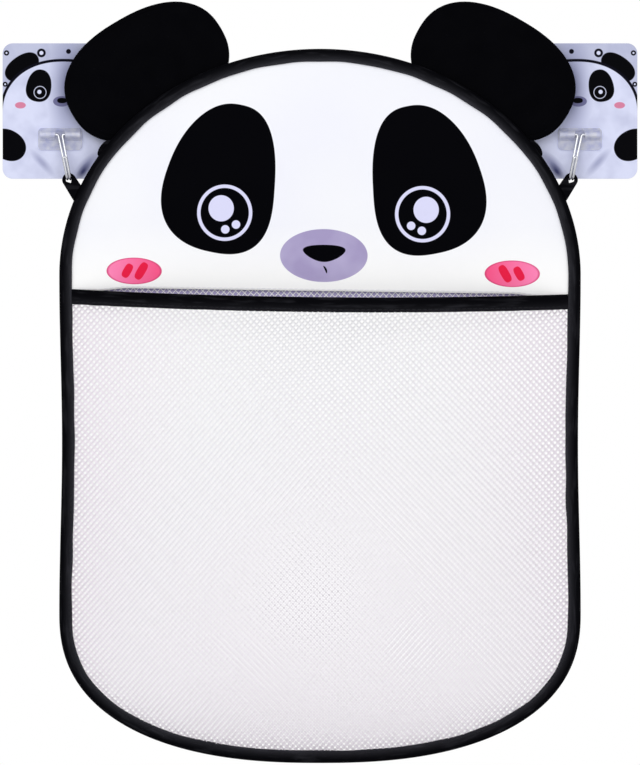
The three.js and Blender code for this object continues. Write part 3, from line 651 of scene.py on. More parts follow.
def makeFaceCloth():
    # White coated cloth with the printed face, painted whiter towards its lower edge as painted light;
    # all of it is worked out from x and z on the panel
    material, tree, shader = newMaterial("printedFaceCloth", Specular_IOR_Level=0.02)
    vector, axes = placeIn(tree)
    turn, pivot = math.radians(facePrint["turn"]), facePrint["pivotDrop"]
    s, c = math.sin(turn), math.cos(turn)
    level = maths(tree, "ADD", axes[2], pivot)
    across = maths(tree, "SUBTRACT", axes[0], facePrint["middle"])
    x = maths(tree, "MULTIPLY_ADD", level, -s, maths(tree, "MULTIPLY", across, c))
    z = maths(tree, "MULTIPLY_ADD", across, s, maths(tree, "MULTIPLY_ADD", level, c, -pivot))
    side = maths(tree, "ABSOLUTE", x)

    def mask(name, mirrored=True):
        shape = facePrint[name]
        value = shapeValue(tree, side if mirrored else x, z, shape)
        return inside(tree, value, math.sqrt(shape["half"][0] * shape["half"][1]))

    colours = {name: srgb(*value) for name, value in printColours.items()}
    soft = remap(tree, noise(tree, vector, 0.012, 1.0), 0.35, 0.65)
    colour = mixColour(tree, soft, colours["cloth"], colours["clothCool"])
    muzzleTone = remap(tree, noise(tree, vector, 0.05), 0.35, 0.7)
    muzzle = mixColour(tree, muzzleTone, colours["muzzle"], colours["muzzleLight"])
    ring = both(tree, mask("ringOuter"), invert(tree, mask("ringInner")))
    lights = (ring, mask("glintLarge"), mask("glintLow"), mask("glintInner"))
    cheekValue, cheekSize = shapeValue(tree, side, z, facePrint["cheek"]), 11.0
    cheek = mixColour(tree, remap(tree, side, 98.0, 127.0), colours["pink"], colours["pinkLight"])
    cheek = paint(tree, cheek, [
        (remap(tree, cheekValue, 0.9, 0.99), colours["pinkEdge"]),
        (mask("dashOuter"), colours["red"]),
        (mask("dashInner"), colours["red"]),
    ])
    colour = paint(tree, colour, [
        # Painted light: the cloth turns whiter from z = -68 to -97 mm
        (remap(tree, axes[2], -68.0, -97.0), colours["paintedLightLow"]),
        (mask("muzzle", False), muzzle),
        (mask("nose", False), colours["ink"]),
        (mask("mouth", False), colours["ink"]),
        (mask("patch"), colours["ink"]),
        *((light, colours["lavender"]) for light in lights),
        (inside(tree, cheekValue, cheekSize), cheek),
    ])
    tree.links.new(colour, shader.inputs["Base Color"])
    gloss = remap(tree, noise(tree, vector, 0.03), 0.3, 0.7, 0.3, 0.42)
    tree.links.new(gloss, shader.inputs["Roughness"])
    addBump(tree, shader, weave(tree, axes[0], axes[2], 0.42), 0.035, 0.5)
    return material


def headGrid():
    # Rows fall from the head's top to its lower edge by a cosine, so that they crowd where it is round;
    # each row runs straight across from rim to rim, its columns placed by a sine
    top = bag["headRise"] - bag["springDrop"] - head["inset"]
    fall = 1 - np.cos(np.linspace(0.035, math.pi / 2, head["rows"]))
    z = top - fall * (top + head["edgeDrop"])
    half = halfWidthAt(z, head["inset"])
    crowded = math.pi / 2 * 0.94
    across = np.sin(np.linspace(-1, 1, head["columns"]) * crowded) / math.sin(crowded)
    return half[:, None] * across, np.repeat(z[:, None], head["columns"], 1), across, fall


def hemFall(x):
    # How far the lower edge hangs under its level: a slope, and at both ends a step of 3 t^2 - 2 t^3
    t = np.clip((np.abs(x) - head["fallFrom"]) / head["fallOver"], 0, 1)
    return head["lean"][0] + head["lean"][1] * x + head["cornerFall"] * t * t * (3 - 2 * t)


def makeHeadSheet(name, node, back, bowShare, material):
    # A sheet standing so far from the wall, bowed forward by (1 - x^2) sin and creased by waves; how far
    # its rows hang eases in by a square over the lowest four tenths
    x, z, across, fall = headGrid()
    z = z - hemFall(x) * np.clip((fall[:, None] - 0.6) / 0.4, 0, 1) ** 2
    bow = (1 - across**2) * np.sin(np.clip(0.15 + 0.75 * fall[:, None], 0, 1) * math.pi)
    calm = (1 - across**8) * np.clip(fall[:, None] / 0.04, 0, 1)
    lift = bowShare * head["bow"] * bow + head["creases"] * spread(x * 1.6, z, 21, 55) * calm
    points = slabPoints(x, -(back + head["thickness"]) - lift, z, head["thickness"])
    piece = addPiece(name, points, slabFaces(*x.shape), material, "bag")
    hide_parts(node)
    return piece


liningLook = {
    "pitch": 0.6, "noise": (0.05, 3.0), "shares": (0.4, 0.5), "relief": (0.06, 0.6),
    "dark": (222, 222, 231), "light": (246, 246, 251),
}
whiteThreadLook = {"noise": (2.0, 2.0), "dark": (224, 223, 234), "light": (247, 247, 252)}
faceMaterial = makeFaceCloth()
liningMaterial = makeWoven("whiteLining", liningLook, Roughness=0.75, Sheen_Weight=0.15)
whiteThread = makeMottled("whiteThread", whiteThreadLook, Roughness=0.6, Sheen_Weight=0.2)
facePiece = makeHeadSheet(
    "face_cloth", "face_panel", stations["faceBack"], 1.0, faceMaterial
)
liningPiece = makeHeadSheet(
    "lining_cloth", "face_lining", stations["liningBack"], 0.0, liningMaterial
)


def headStitches(name, height, depth, outwardY, seed):
    # A straight row of stitches across the head cloth, rim to rim
    stitch = head["hemStitch"]
    half = float(halfWidthAt(height, binding["width"] + 1))
    x = np.arange(-half, half, stitch["pitch"])
    z = height - hemFall(x) + np.random.default_rng(seed).normal(0, 0.05, len(x))
    centres = np.stack([x, -depth(x, z), z], -1)
    along = np.tile([1.0, 0.0, 0.0], (len(x), 1))
    out = np.tile([0.0, outwardY, 0.0], (len(x), 1))
    return addStitches(name, centres, along, out, stitch, whiteThread)


def depthOn(piece, side):
    # The distance from the wall of a sheet's front or back points, looked up by the nearest one
    co = np.empty(len(piece.data.vertices) * 3, np.float32)
    piece.data.vertices.foreach_get("co", co)
    co = np.split(co.reshape(-1, 3), 2)[0 if side > 0 else 1] / mm

    def depth(x, z):
        near = [np.argmin((co[:, 0] - a) ** 2 + (co[:, 2] - b) ** 2) for a, b in zip(x, z)]
        return -co[near, 1]

    return depth


hemHeight = -head["edgeDrop"] + head["hemLine"]
headStitches("face_hem_stitches", hemHeight, depthOn(facePiece, 1), -1, 5)
headStitches("lining_hem_stitches", hemHeight, depthOn(liningPiece, -1), 1, 6)
print("face panel and lining made")


# Nets and mouth band

net = {
    "inset": 7.9,  # of the border that the surface is spanned over
    "kept": 4.7,  # strands run on under the binding to here
    "seat": 0.5,  # how much deeper they lie there, under the tape
    "pitch": (3.55, 3.8),  # width and height of a diamond
    "strand": 0.5,
    "rowTilt": (0.11, 0.05),  # how much the rows rise to the right, at the hook line and at the foot
    "backRise": 0.95,  # how much higher the back net's knots lie
    "weave": 0.13,  # how far a strand passes over and under another
    "bow": 18,  # how far the mouth stands out in the middle
    "swell": 56,  # how much further the foot would stand out if nothing held it
    "acrossPower": 2.2,
    "downPower": 4,
    "flaw": 0.06,  # how far the lattice strays
    "backTop": 97.5,
    "underBand": 5.5,  # how far the front net runs up inside the band
    "standoff": 0.7,  # how far it lies in front of its station
}
band = {
    "height": 8.9,
    "tape": 0.7,
    "slot": 1.3,  # between its two layers
    "endDrop": 110.7,
    "sag": 3.3,
    "lean": (0.85, 0.0105),  # as for the head's lower edge
    "columns": 260,
    "front": 0.35,  # how far its middle lies in front of the net's station
    "footRise": 0.3,  # how far its lower edge lies over the mouth's line
    "endGap": 0.1,  # from the binding
    "firstStitch": 3,  # how far in from its ends
    "wander": 0.04,  # how far its lower edge strays
    "pinch": 0.16,
    "stitchLine": 1.7,  # height of its stitches over its lower edge
    "stitch": {"length": 2.4, "pitch": 3.3, "radius": 0.17},
}
cornerFall = bag["footDrop"] * math.sqrt(0.5) ** (2 / bag["footPower"])
cornerDrop = bag["springDrop"] + bag["sideLength"] + cornerFall
footShare = shareAtHeight(-cornerDrop)
rimShare = shareAtHeight(-band["endDrop"] - band["height"] / 2)
mouthHalf = float(outlineAt(rimShare, net["inset"])[0])


def mouthLine(x):
    # The band's lower edge, a parabola that sags in the middle and leans to the right
    lean = band["lean"][0] + band["lean"][1] * x
    return -band["endDrop"] - band["sag"] * (1 - (x / mouthHalf) ** 2) - band["height"] / 2 - lean


def pocketDepth(across, down):
    # (1 - |a|^p) (1 - d^4) (bow + swell d), a from -1 to 1 and d from 0 at the mouth to 1 at the foot
    fall = 1 - np.minimum(np.abs(across), 1) ** net["acrossPower"]
    return fall * (1 - down ** net["downPower"]) * (net["bow"] + net["swell"] * down)


def netPlace(a, d):
    # Coons blend of the two sides, the foot and the mouth line: the sum of both straight blends, less the
    # blend of the corners
    share = (a + 1) / 2
    side = outlineAt(rimShare + (footShare - rimShare) * d, net["inset"])
    foot = outlineAt(1 - footShare + (2 * footShare - 1) * share, net["inset"])
    corner = outlineAt(footShare, net["inset"])
    top = mouthLine(a * mouthHalf)
    cornersX = a * (mouthHalf * (1 - d) + corner[0] * d)
    cornersZ = mouthLine(mouthHalf) * (1 - d) + corner[1] * d
    x = side[..., 0] * a + a * mouthHalf * (1 - d) + foot[..., 0] * d - cornersX
    z = side[..., 1] + top * (1 - d) + foot[..., 1] * d - cornersZ
    return np.stack([x, z], -1)


def depthAt(x, z):
    # Newton's steps back from x and z to the blend's own a and d, then the depth there
    low = outline["z"].min() + net["inset"]
    a = np.clip(x / mouthHalf, -1, 1)
    d = np.clip((mouthLine(0) - z) / (mouthLine(0) - low), 0, 1)
    small = 1e-3
    for _ in range(14):
        here = netPlace(a, d)
        byA = (netPlace(np.minimum(a + small, 1), d) - here) / small
        byD = (netPlace(a, np.maximum(d - small, 0)) - here) / -small
        miss = np.stack([x, z], -1) - here
        det = byA[..., 0] * byD[..., 1] - byA[..., 1] * byD[..., 0]
        det = np.where(np.abs(det) < 1e-3, 1e-3, det)
        stepA = 0.8 * (miss[..., 0] * byD[..., 1] - miss[..., 1] * byD[..., 0]) / det
        stepD = 0.8 * (miss[..., 1] * byA[..., 0] - miss[..., 0] * byA[..., 1]) / det
        a, d = np.clip(a + stepA, -0.9995, 0.9985), np.clip(d + stepD, 0.0005, 1)
    return pocketDepth(a, d)


def insetOf(x, z, samples=1400, atOnce=4000):
    # How far inside the outline points lie: the gap from the nearest of so many outline points, taken
    # along the way inwards there
    share = np.arange(samples) / samples
    places, inward = outlineAt(share, 0), inwardAt(share)
    result = np.empty(len(x))
    for start in range(0, len(x), atOnce):
        part = slice(start, start + atOnce)
        gap = np.stack([x[part], z[part]], -1)[:, None] - places
        near = np.argmin((gap**2).sum(-1), 1)
        result[part] = (gap[np.arange(len(gap)), near] * inward[near]).sum(-1)
    return result


def strandRuns(knots):
    # Chains of kept knots down both diagonals of the lattice, as lists of places in the knot table
    index = {tuple(knot): number for number, knot in enumerate(knots.tolist())}
    runs = []
    for step in (1, -1):
        for knot, number in index.items():
            if (knot[0] - step, knot[1] - 1) in index:
                continue
            run, here = [number], (knot[0] + step, knot[1] + 1)
            while here in index:
                run.append(index[here])
                here = (here[0] + step, here[1] + 1)
            if len(run) > 1:
                runs.append((step, run))
    return runs


def makeNet(name, nodes, standoff, topLine, bulged, seed, rise=0.0):
    # Square tubes along the strands of a diamond lattice, one ring at each knot. At every other knot the
    # down-right strand passes over. Rows lie at z = tilt x - row high, and the tilt eases down the bag;
    # the lattice strays a little by slow random waves.
    wide, high = net["pitch"][0] / 2, net["pitch"][1] / 2
    columns = int(bag["halfWidth"] / wide) + 2
    rows = int(-outline["z"].min() / high) + 2
    column, row = np.meshgrid(np.arange(-columns, columns + 1), np.arange(-8, rows + 8), indexing="ij")
    keep = (column + row) % 2 == 0
    column, row = column[keep], row[keep]
    tilt = np.interp(row / rows, (0, 1), net["rowTilt"])
    x, z = column * wide, tilt * column * wide - row * high + rise
    x, z = x + net["flaw"] * spread(x, z, 41, 70), z + net["flaw"] * spread(x, z, 42, 70)
    inset = insetOf(x, z)
    kept = (inset > net["kept"]) & (z < topLine(x))
    knots, x, z, inset = np.stack([column, row], -1)[kept], x[kept], z[kept], inset[kept]
    depth = slopeX = slopeZ = seated = np.zeros_like(x)
    if bulged:
        depth, small = depthAt(x, z), 0.5
        slopeX, slopeZ = (depthAt(x + small, z) - depth) / small, (depthAt(x, z + small) - depth) / small
        seated = net["seat"] * np.clip((binding["width"] - inset) / 1.5, 0, 1)
    normal = unit(np.stack([-slopeX, -np.ones_like(x), -slopeZ], -1))
    centre = np.stack([x, -standoff - depth + seated, z], -1)
    points, faces, total = [], [], 0
    draw, corners = np.random.default_rng(seed), ((1, 1), (-1, 1), (-1, -1), (1, -1))
    for step, run in strandRuns(knots):
        line, out = centre[run], normal[run]
        over = np.where(knots[run, 1] % 4 < 2, 1, -1) * step
        line = line + out * (over * net["weave"])[:, None]
        tangent = unit(np.gradient(line, axis=0))
        side = unit(np.cross(tangent, out))
        half = net["strand"] / 2 * (1 + draw.normal(0, 0.05, len(run)))[:, None]
        ring = np.stack([line + (a * side + b * out) * half for a, b in corners], 1)
        points.append(ring.reshape(-1, 3))
        quads = gridFaces(len(run), 4, False, True)[0]
        faces.append(np.concatenate([quads, endCaps(4, 4 * len(run) - 4)]) + total)
        total += 4 * len(run)
    piece = addPiece(
        name, np.concatenate(points), [np.concatenate(faces)], netMaterial, "bag",
        smooth=False,
    )
    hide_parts(*nodes)
    return piece


def makeNetYarn():
    # White yarn, thin enough to let some light through, tinted a little lilac towards its sides and its
    # foot as painted reflection
    material, tree, shader = newMaterial(
        "whiteNetYarn", Roughness=0.6, Specular_IOR_Level=0.3, Sheen_Weight=0.5
    )
    vector, axes = placeIn(tree)
    colour = mixColour(tree, noise(tree, vector, 0.35, 3.0), srgb(250, 249, 254), srgb(255, 255, 255))
    # Painted reflection: a lilac tint growing towards the sides and the foot
    side = remap(tree, maths(tree, "ABSOLUTE", axes[0]), 60.0, 150.0, newHigh=0.75)
    low = remap(tree, axes[2], -150.0, -380.0, newHigh=0.6)
    colour = mixColour(tree, maths(tree, "MAXIMUM", side, low), colour, srgb(252, 243, 252))
    tree.links.new(colour, shader.inputs["Base Color"])
    clear = tree.nodes.new("ShaderNodeBsdfTranslucent")
    tree.links.new(colour, clear.inputs["Color"])
    blend = tree.nodes.new("ShaderNodeMixShader")
    blend.inputs[0].default_value = 0.12
    tree.links.new(shader.outputs[0], blend.inputs[1])
    tree.links.new(clear.outputs[0], blend.inputs[2])
    tree.links.new(blend.outputs[0], tree.nodes["Material Output"].inputs["Surface"])
    return material


netMaterial = makeNetYarn()
frontNet = makeNet(
    "front_net_yarn", [f"pocket_net_{row}_{column}" for row in (1, 2, 3) for column in (1, 2, 3)],
    stations["frontNet"] + net["standoff"], lambda x: mouthLine(x) + net["underBand"], True, 41,
)
backNet = makeNet(
    "back_net_yarn", ["back_net"], stations["backNet"], lambda x: 0 * x - net["backTop"], False, 43,
    net["backRise"],
)
print("nets made,", len(frontNet.data.polygons), "and", len(backNet.data.polygons), "faces")


# Painted shade: a lilac sheet behind the top of the back net
shadeSheet = {
    "top": -99.5,
    "height": 12.4,
    "inset": 7.35,
    "front": 11.15,
    "thickness": 0.5,
    "ripple": 0.06,
    "look": {
        "pitch": 0.5, "noise": (0.2, 2.0), "shares": (0.0, 1.0), "relief": (0.05, 0.5),
        "dark": (170, 161, 204), "light": (200, 192, 230),
    },
}
shadeSheetMaterial = makeWoven("lilacShadeSheet", shadeSheet["look"], Roughness=0.7, Specular_IOR_Level=0.1)


def makeShadeSheet():
    # A pale lilac sheet behind the top of the back net, put where the inside of the bag lies in shade:
    # painted shade. It runs straight across from binding to binding, with slow waves in it
    down = np.linspace(0, 1, 5)[:, None]
    z = shadeSheet["top"] - down * shadeSheet["height"]
    x = halfWidthAt(z, shadeSheet["inset"]) * np.linspace(-1, 1, 160)
    z = np.broadcast_to(z, x.shape)
    lift = shadeSheet["ripple"] * spread(x * 2, z, 51, 30)
    points = slabPoints(x, -shadeSheet["front"] - lift, z, shadeSheet["thickness"])
    return addPiece("painted_shade_sheet", points, slabFaces(*x.shape), shadeSheetMaterial, "bag")


makeShadeSheet()


def makeBand():
    # The folded section carried along the mouth from binding to binding, upright, its fold on top; the
    # stitches run along it in the dip that they draw in
    half = band["slot"] / 2 + band["tape"]
    section = foldedSection(
        band["height"], half, band["tape"], band["height"] - band["stitchLine"], band["pinch"], around=9
    )
    end = float(outlineAt(rimShare, binding["width"] + band["endGap"])[0])
    x = np.linspace(-end, end, band["columns"])
    a = np.clip(x / mouthHalf, -1, 1)
    depth = pocketDepth(a, np.zeros_like(a))
    slope = np.gradient(depth, x)
    out = unit(np.stack([-slope, -np.ones_like(x)], -1))
    middleY = -(stations["frontNet"] + band["front"] + depth)
    foot = mouthLine(x) + band["footRise"]
    up = band["height"] - section[:, 0]
    stray = band["wander"] * ripple((x + end) / (2 * end), 24, 8, 6)[:, None] * (1 - up / band["height"])
    points = np.stack([
        x[:, None] + out[:, :1] * section[:, 1],
        middleY[:, None] + out[:, 1:] * section[:, 1],
        foot[:, None] + up[None] + stray,
    ], -1)
    faces, row, column = gridFaces(*points.shape[:2], False, True)
    across = wayRound(section, band["tape"])
    uv = np.stack([row * 2 * end / band["columns"], across[column]], -1) * mm
    piece = addPiece("mouth_band_tape", points, [faces], bandMaterial, "bag", [uv])
    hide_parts("mouth_band")
    at = np.arange(band["firstStitch"] - end, end - band["firstStitch"], band["stitch"]["pitch"])
    front = half - band["pinch"] + threadProud
    centres = np.stack([
        at, np.interp(at, x, middleY) - front, np.interp(at, x, foot) + band["stitchLine"],
    ], -1)
    along = np.stack([np.ones_like(at), -np.interp(at, x, slope), 0 * at], -1)
    outs = np.stack([np.interp(at, x, out[:, 0]), np.interp(at, x, out[:, 1]), 0 * at], -1)
    addStitches("mouth_band_stitches", centres, along, outs, band["stitch"], threadMaterial)


makeBand()
print("mouth band made")


# Ears, loops and tabs

ear = {
    "halfLength": 50.7,
    "halfHeight": 34.6,
    "power": 2.35,
    "tilt": 30.2,
    "seatRise": 9.2,
    "overhang": 16.6,
    "headInset": 6.9,
    "reach": 56,  # further than any of it lies from its middle
    "around": 320,
    "rings": 46,
    "puff": 0.35,
    "puffFrom": 146.7,  # how far from the head's centre the puff begins
    "puffOver": 26,
    "uneven": 0.08,  # height of the slow waves on the puff
    "rim": 1.3,  # width of the rounded rim
    "seam": 3.4,  # how far the seam's groove lies in from the rim
    "groove": 0.28,
    "grooveWidth": 0.5,
    "look": {
        "pitch": 0.5, "noise": (0.08, 3.0), "shares": (0.4, 0.5), "relief": (0.06, 0.6),
        "dark": (0, 0, 2), "light": (8, 8, 11),
    },
}
earMiddle = outlineAt(shareAtHeight(ear["seatRise"]), -ear["overhang"])


earMaterial = makeWoven(
    "blackEarCloth", ear["look"], Roughness=0.65, Sheen_Weight=0.002, Specular_IOR_Level=0.014
)


def earReach(angle):
    # From the ear's middle to where the superellipse ends or the head's inset outline begins
    radius = np.linspace(0, ear["reach"], 1200)
    x = earMiddle[0] + radius * np.cos(angle)[:, None]
    z = earMiddle[1] + radius * np.sin(angle)[:, None]
    tilt = math.radians(ear["tilt"])
    u = (x - earMiddle[0]) * math.cos(tilt) - (z - earMiddle[1]) * math.sin(tilt)
    v = (x - earMiddle[0]) * math.sin(tilt) + (z - earMiddle[1]) * math.cos(tilt)
    size = np.abs(u / ear["halfLength"]) ** ear["power"] + np.abs(v / ear["halfHeight"]) ** ear["power"]
    rim = outlineAt(np.linspace(0, 0.32, 1500), ear["headInset"]) + (0, bag["springDrop"])
    up = z + bag["springDrop"]
    reach = np.interp(np.arctan2(x, up), np.arctan2(rim[:, 0], rim[:, 1]), np.hypot(rim[:, 0], rim[:, 1]))
    out = (size > 1) | (np.hypot(x, up) < reach)
    out[:, -1] = True
    return radius[np.argmax(out, 1)]


def makeEar(side, name):
    # A polar grid, crowded near the rim; half the thickness falls there by a quarter circle, the
    # front is puffed up away from the head and drawn in along the seam
    angle = np.arange(ear["around"]) / ear["around"] * tau
    reach = earReach(angle)
    share = np.sin(np.linspace(0.02, 1, ear["rings"]) * math.pi / 2)
    radius = share[:, None] * reach
    edge = reach - radius
    thick = (stations["earFront"] - stations["earBack"]) / 2
    rounding = np.sqrt(1 - (1 - np.minimum(edge / ear["rim"], 1)) ** 2)
    x = earMiddle[0] + radius * np.cos(angle)
    z = earMiddle[1] + radius * np.sin(angle)
    over = np.clip((np.hypot(x, z + bag["springDrop"]) - ear["puffFrom"]) / ear["puffOver"], 0, 1)
    groove = ear["groove"] * np.exp(-(((edge - ear["seam"]) / ear["grooveWidth"]) ** 2))
    uneven = ear["uneven"] * spread(x, z, 31 if side > 0 else 32, 30)
    puff = (ear["puff"] * (1 - share[:, None] ** 4) + uneven) * over
    middle = -(stations["earFront"] + stations["earBack"]) / 2
    front = np.stack([side * x, middle - rounding * (thick + puff - groove), z], -1)
    back = np.stack([side * x, middle + rounding * (thick - 0.6 * groove), z], -1)
    faces = gridFaces(*x.shape, False, True)[0]
    count = x.size
    last = (ear["rings"] - 1) * ear["around"]
    points = np.concatenate([front.reshape(-1, 3), back[:-1].reshape(-1, 3)])
    points = np.concatenate([points, [front[0].mean(0), back[0].mean(0)]])
    behind = np.where(faces >= last, faces, faces + count)[:, ::-1]
    fans = endFans(ear["around"], count, (len(points) - 2, len(points) - 1))
    quads = np.concatenate([faces, behind])
    piece = addPiece(f"{name}_ear_pad", points, [quads, fans], earMaterial, "bag")
    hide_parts(f"{name}_ear_front", f"{name}_ear_back", f"{name}_ear_core")
    return piece


ears = [makeEar(-1, "left"), makeEar(1, "right")]
print("ears made")


def tubeAlong(line, radius, sides):
    # Rings at right angles to a line, each turned from the one before it without twist
    tangent = unit(np.gradient(line, axis=0))
    sideways = [unit(np.cross(tangent[0], (0.3, 0.2, 1.0)))]
    for here in tangent[1:]:
        sideways.append(unit(sideways[-1] - here * np.dot(sideways[-1], here)))
    sideways = np.array(sideways)
    other = np.cross(tangent, sideways)
    angle = np.arange(sides)[:, None] / sides * tau
    return line[:, None] + radius * (np.cos(angle) * sideways[:, None] + np.sin(angle) * other[:, None])


def bentLine(corners, steps):
    # Straight runs joined by cubic curves that follow an arc: the handles reach in by
    # 1 - 4/3 tan(turn / 4) / tan(turn / 2) of the corner's rounding
    places = [np.array(corners[0][0], float)]
    for (before, _), (point, rounding), (after, _) in zip(corners, corners[1:-1], corners[2:]):
        point = np.array(point, float)
        into, out = unit(np.array(before) - point) * rounding, unit(np.array(after) - point) * rounding
        turn = math.acos(np.clip(-np.dot(into, out) / rounding**2, -1, 1))
        handle = 1 - (4 / 3) * math.tan(turn / 4) / math.tan(turn / 2)
        t = np.linspace(0, 1, steps + 1)[:, None]
        ends = (point + into, point + into * handle, point + out * handle, point + out)
        weights = ((1 - t) ** 3, 3 * t * (1 - t) ** 2, 3 * t**2 * (1 - t), t**3)
        curve = sum(weight * end for weight, end in zip(weights, ends))
        places.extend(curve[1:] if np.linalg.norm(curve[0] - places[-1]) < 0.3 else curve)
    places.append(np.array(corners[-1][0], float))
    return np.array(places)


hook = {
    "wire": 1.5,
    "sides": 20,
    "pinReach": 8.5,
    "pinDrop": 14,
    "legSpread": 1.15,
    "throatSpread": 0.85,
    "cornerRadius": 1.2,
    "throatRadius": 4.2,
    "throatDrop": 36.3,
    "throatInset": 4.6,
    "tipRise": 8.6,
    "tipFlare": 0.7,
}
loop = {
    "rootDrop": 48.4,
    "reach": 4.8,
    "play": 0.7,  # as the solid has it
    "clear": 0.2,  # from the wires to the eye's drawn edge
    "halfWidth": 4.05,
    "eyeLength": 2.1,
    "rootWidth": 8.6,
    "depth": 3,
    "edge": 0.6,  # radius of its rounded edges
    "dent": 0.22,
    "rootDepth": 0.25,  # how far it runs into the binding
    "around": 128,
    "rays": (22, 0.02),  # how far they are followed, and in what steps
}
hookLean = hook["throatInset"] / (hook["throatDrop"] - hook["pinDrop"])
loopRoot = outlineAt(shareAtHeight(-loop["rootDrop"]), 0)
eyeX = float(loopRoot[0]) + loop["reach"]
eyeZ = 0.3 - loop["play"] - hook["throatDrop"] - hook["throatRadius"]  # 0.3 as the solid has it
plateX = eyeX + hook["throatInset"] + hookLean * hook["throatRadius"]


def makeHook(side, name):
    # A round wire carried along its bent line: a pin, a leg, half the throat and the tip, and back down
    # the other side
    def middleAt(z):
        return side * (plateX - hookLean * (-hook["pinDrop"] - z))

    backY, frontY = hook["throatRadius"] - bagMiddle, -hook["throatRadius"] - bagMiddle
    low, tip = -hook["throatDrop"] - hook["throatRadius"], hook["tipRise"] - hook["throatDrop"]
    half = [  # of each corner: how far off the middle, y, z and rounding
        (hook["pinReach"], -stations["pin"], -hook["pinDrop"], 0),
        (hook["legSpread"], -stations["pin"], -hook["pinDrop"], hook["cornerRadius"]),
        (hook["throatSpread"], backY, low, hook["throatRadius"]),
        (hook["throatSpread"], frontY, low, hook["throatRadius"]),
        (hook["throatSpread"], frontY - hook["tipFlare"], tip, hook["throatSpread"]),
    ]
    corners = [((middleAt(z) - s, y, z), r) for s, y, z, r in half]
    corners += [((middleAt(z) + s, y, z), r) for s, y, z, r in half[::-1]]
    line = bentLine(corners, 12)
    rings = tubeAlong(line, hook["wire"] / 2, hook["sides"]).reshape(-1, 3)
    quads = gridFaces(len(line), hook["sides"], False, True)[0]
    fans = endFans(hook["sides"], len(rings) - hook["sides"], (len(rings), len(rings) + 1))
    piece = addPiece(
        f"{name}_hook_wire", np.concatenate([rings, line[[0, -1]]]), [quads, fans], stainlessMaterial,
        f"{name}_hook",
    )
    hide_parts(f"{name}_wire_hook")


def makeLoop(side, name):
    # A leaf of doubled tape round the eye. Rays from the eye's middle give its inner and outer edge: the
    # far half is round, the near half runs straight to the binding, and the eye closes to a point. Each
    # ray's section has faces dented by a bell curve, and edges rounded by quarter circles.
    away = np.array([float(loopRoot[0]) - eyeX, float(loopRoot[1]) - eyeZ])
    length = float(np.linalg.norm(away))
    along = away / length
    across = np.array([-along[1], along[0]])
    inward = inwardAt(shareAtHeight(-loop["rootDrop"]))
    wire = hook["throatSpread"] + hook["wire"] / 2
    inner, outer = wire + loop["clear"], loop["halfWidth"]
    angle = np.arange(loop["around"]) / loop["around"] * tau
    ray = np.stack([np.cos(angle), np.sin(angle)], -1)
    reach = np.arange(0, *loop["rays"])
    x, z = ray[:, :1] * reach, ray[:, 1:] * reach
    flare = outer + (loop["rootWidth"] / 2 - outer) * np.maximum(x, 0) / length
    toBinding = (along @ inward) * (x - length) + (across @ inward) * z
    out = (np.where(x < 0, np.hypot(x, z), np.abs(z)) > flare) | (toBinding > loop["rootDepth"])
    outerReach = reach[np.argmax(out, 1)]
    pointed = inner * (1 - np.maximum(x, 0) / loop["eyeLength"])
    innerReach = reach[np.argmax(np.where(x < 0, np.hypot(x, z) > inner, np.abs(z) > pointed), 1)]
    innerReach = np.maximum(innerReach, inner * 0.8)
    half = (outerReach - innerReach) / 2
    step = np.array([0.0, 0.05, 0.16, 0.34, 0.6, 0.9])
    edge = np.minimum(step[None], half[:, None] * np.array([0, 0.1, 0.3, 0.5, 0.7, 0.9]) + step * 0.3)
    edge = np.minimum(edge, half[:, None] * 0.96)
    height = loop["depth"] / 2 * np.sqrt(1 - (1 - np.minimum(edge / loop["edge"], 1)) ** 2)
    dent = loop["dent"] * np.exp(-((half[:, None] - 1) / 0.8) ** 2)
    innerReach, outerReach = innerReach[:, None], outerReach[:, None]
    place = np.concatenate([
        innerReach + edge, innerReach + half[:, None], (outerReach - edge)[:, ::-1],
    ], 1)
    lift = np.concatenate([height, loop["depth"] / 2 - dent, height[:, ::-1]], 1)
    radial = np.concatenate([place, place[:, -2:0:-1]], 1)
    level = np.concatenate([-lift, lift[:, -2:0:-1]], 1)
    flat = (ray[:, None, :1] * along + ray[:, None, 1:] * across) * radial[..., None]
    points = np.stack([side * (eyeX + flat[..., 0]), level - bagMiddle, eyeZ + flat[..., 1]], -1)
    faces = gridFaces(*points.shape[:2], True, True)[0]
    piece = addPiece(f"{name}_loop_tape", points, [faces], tapeBlock, "bag")
    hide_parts(f"{name}_hanging_loop")


for side, name in ((-1, "left"), (1, "right")):
    makeHook(side, name)
    makeLoop(side, name)
print("hooks and loops made")


tab = {"drop": 22, "halfLength": 6, "halfWidth": 2.8, "thickness": 2.6, "rootDepth": 0.3}


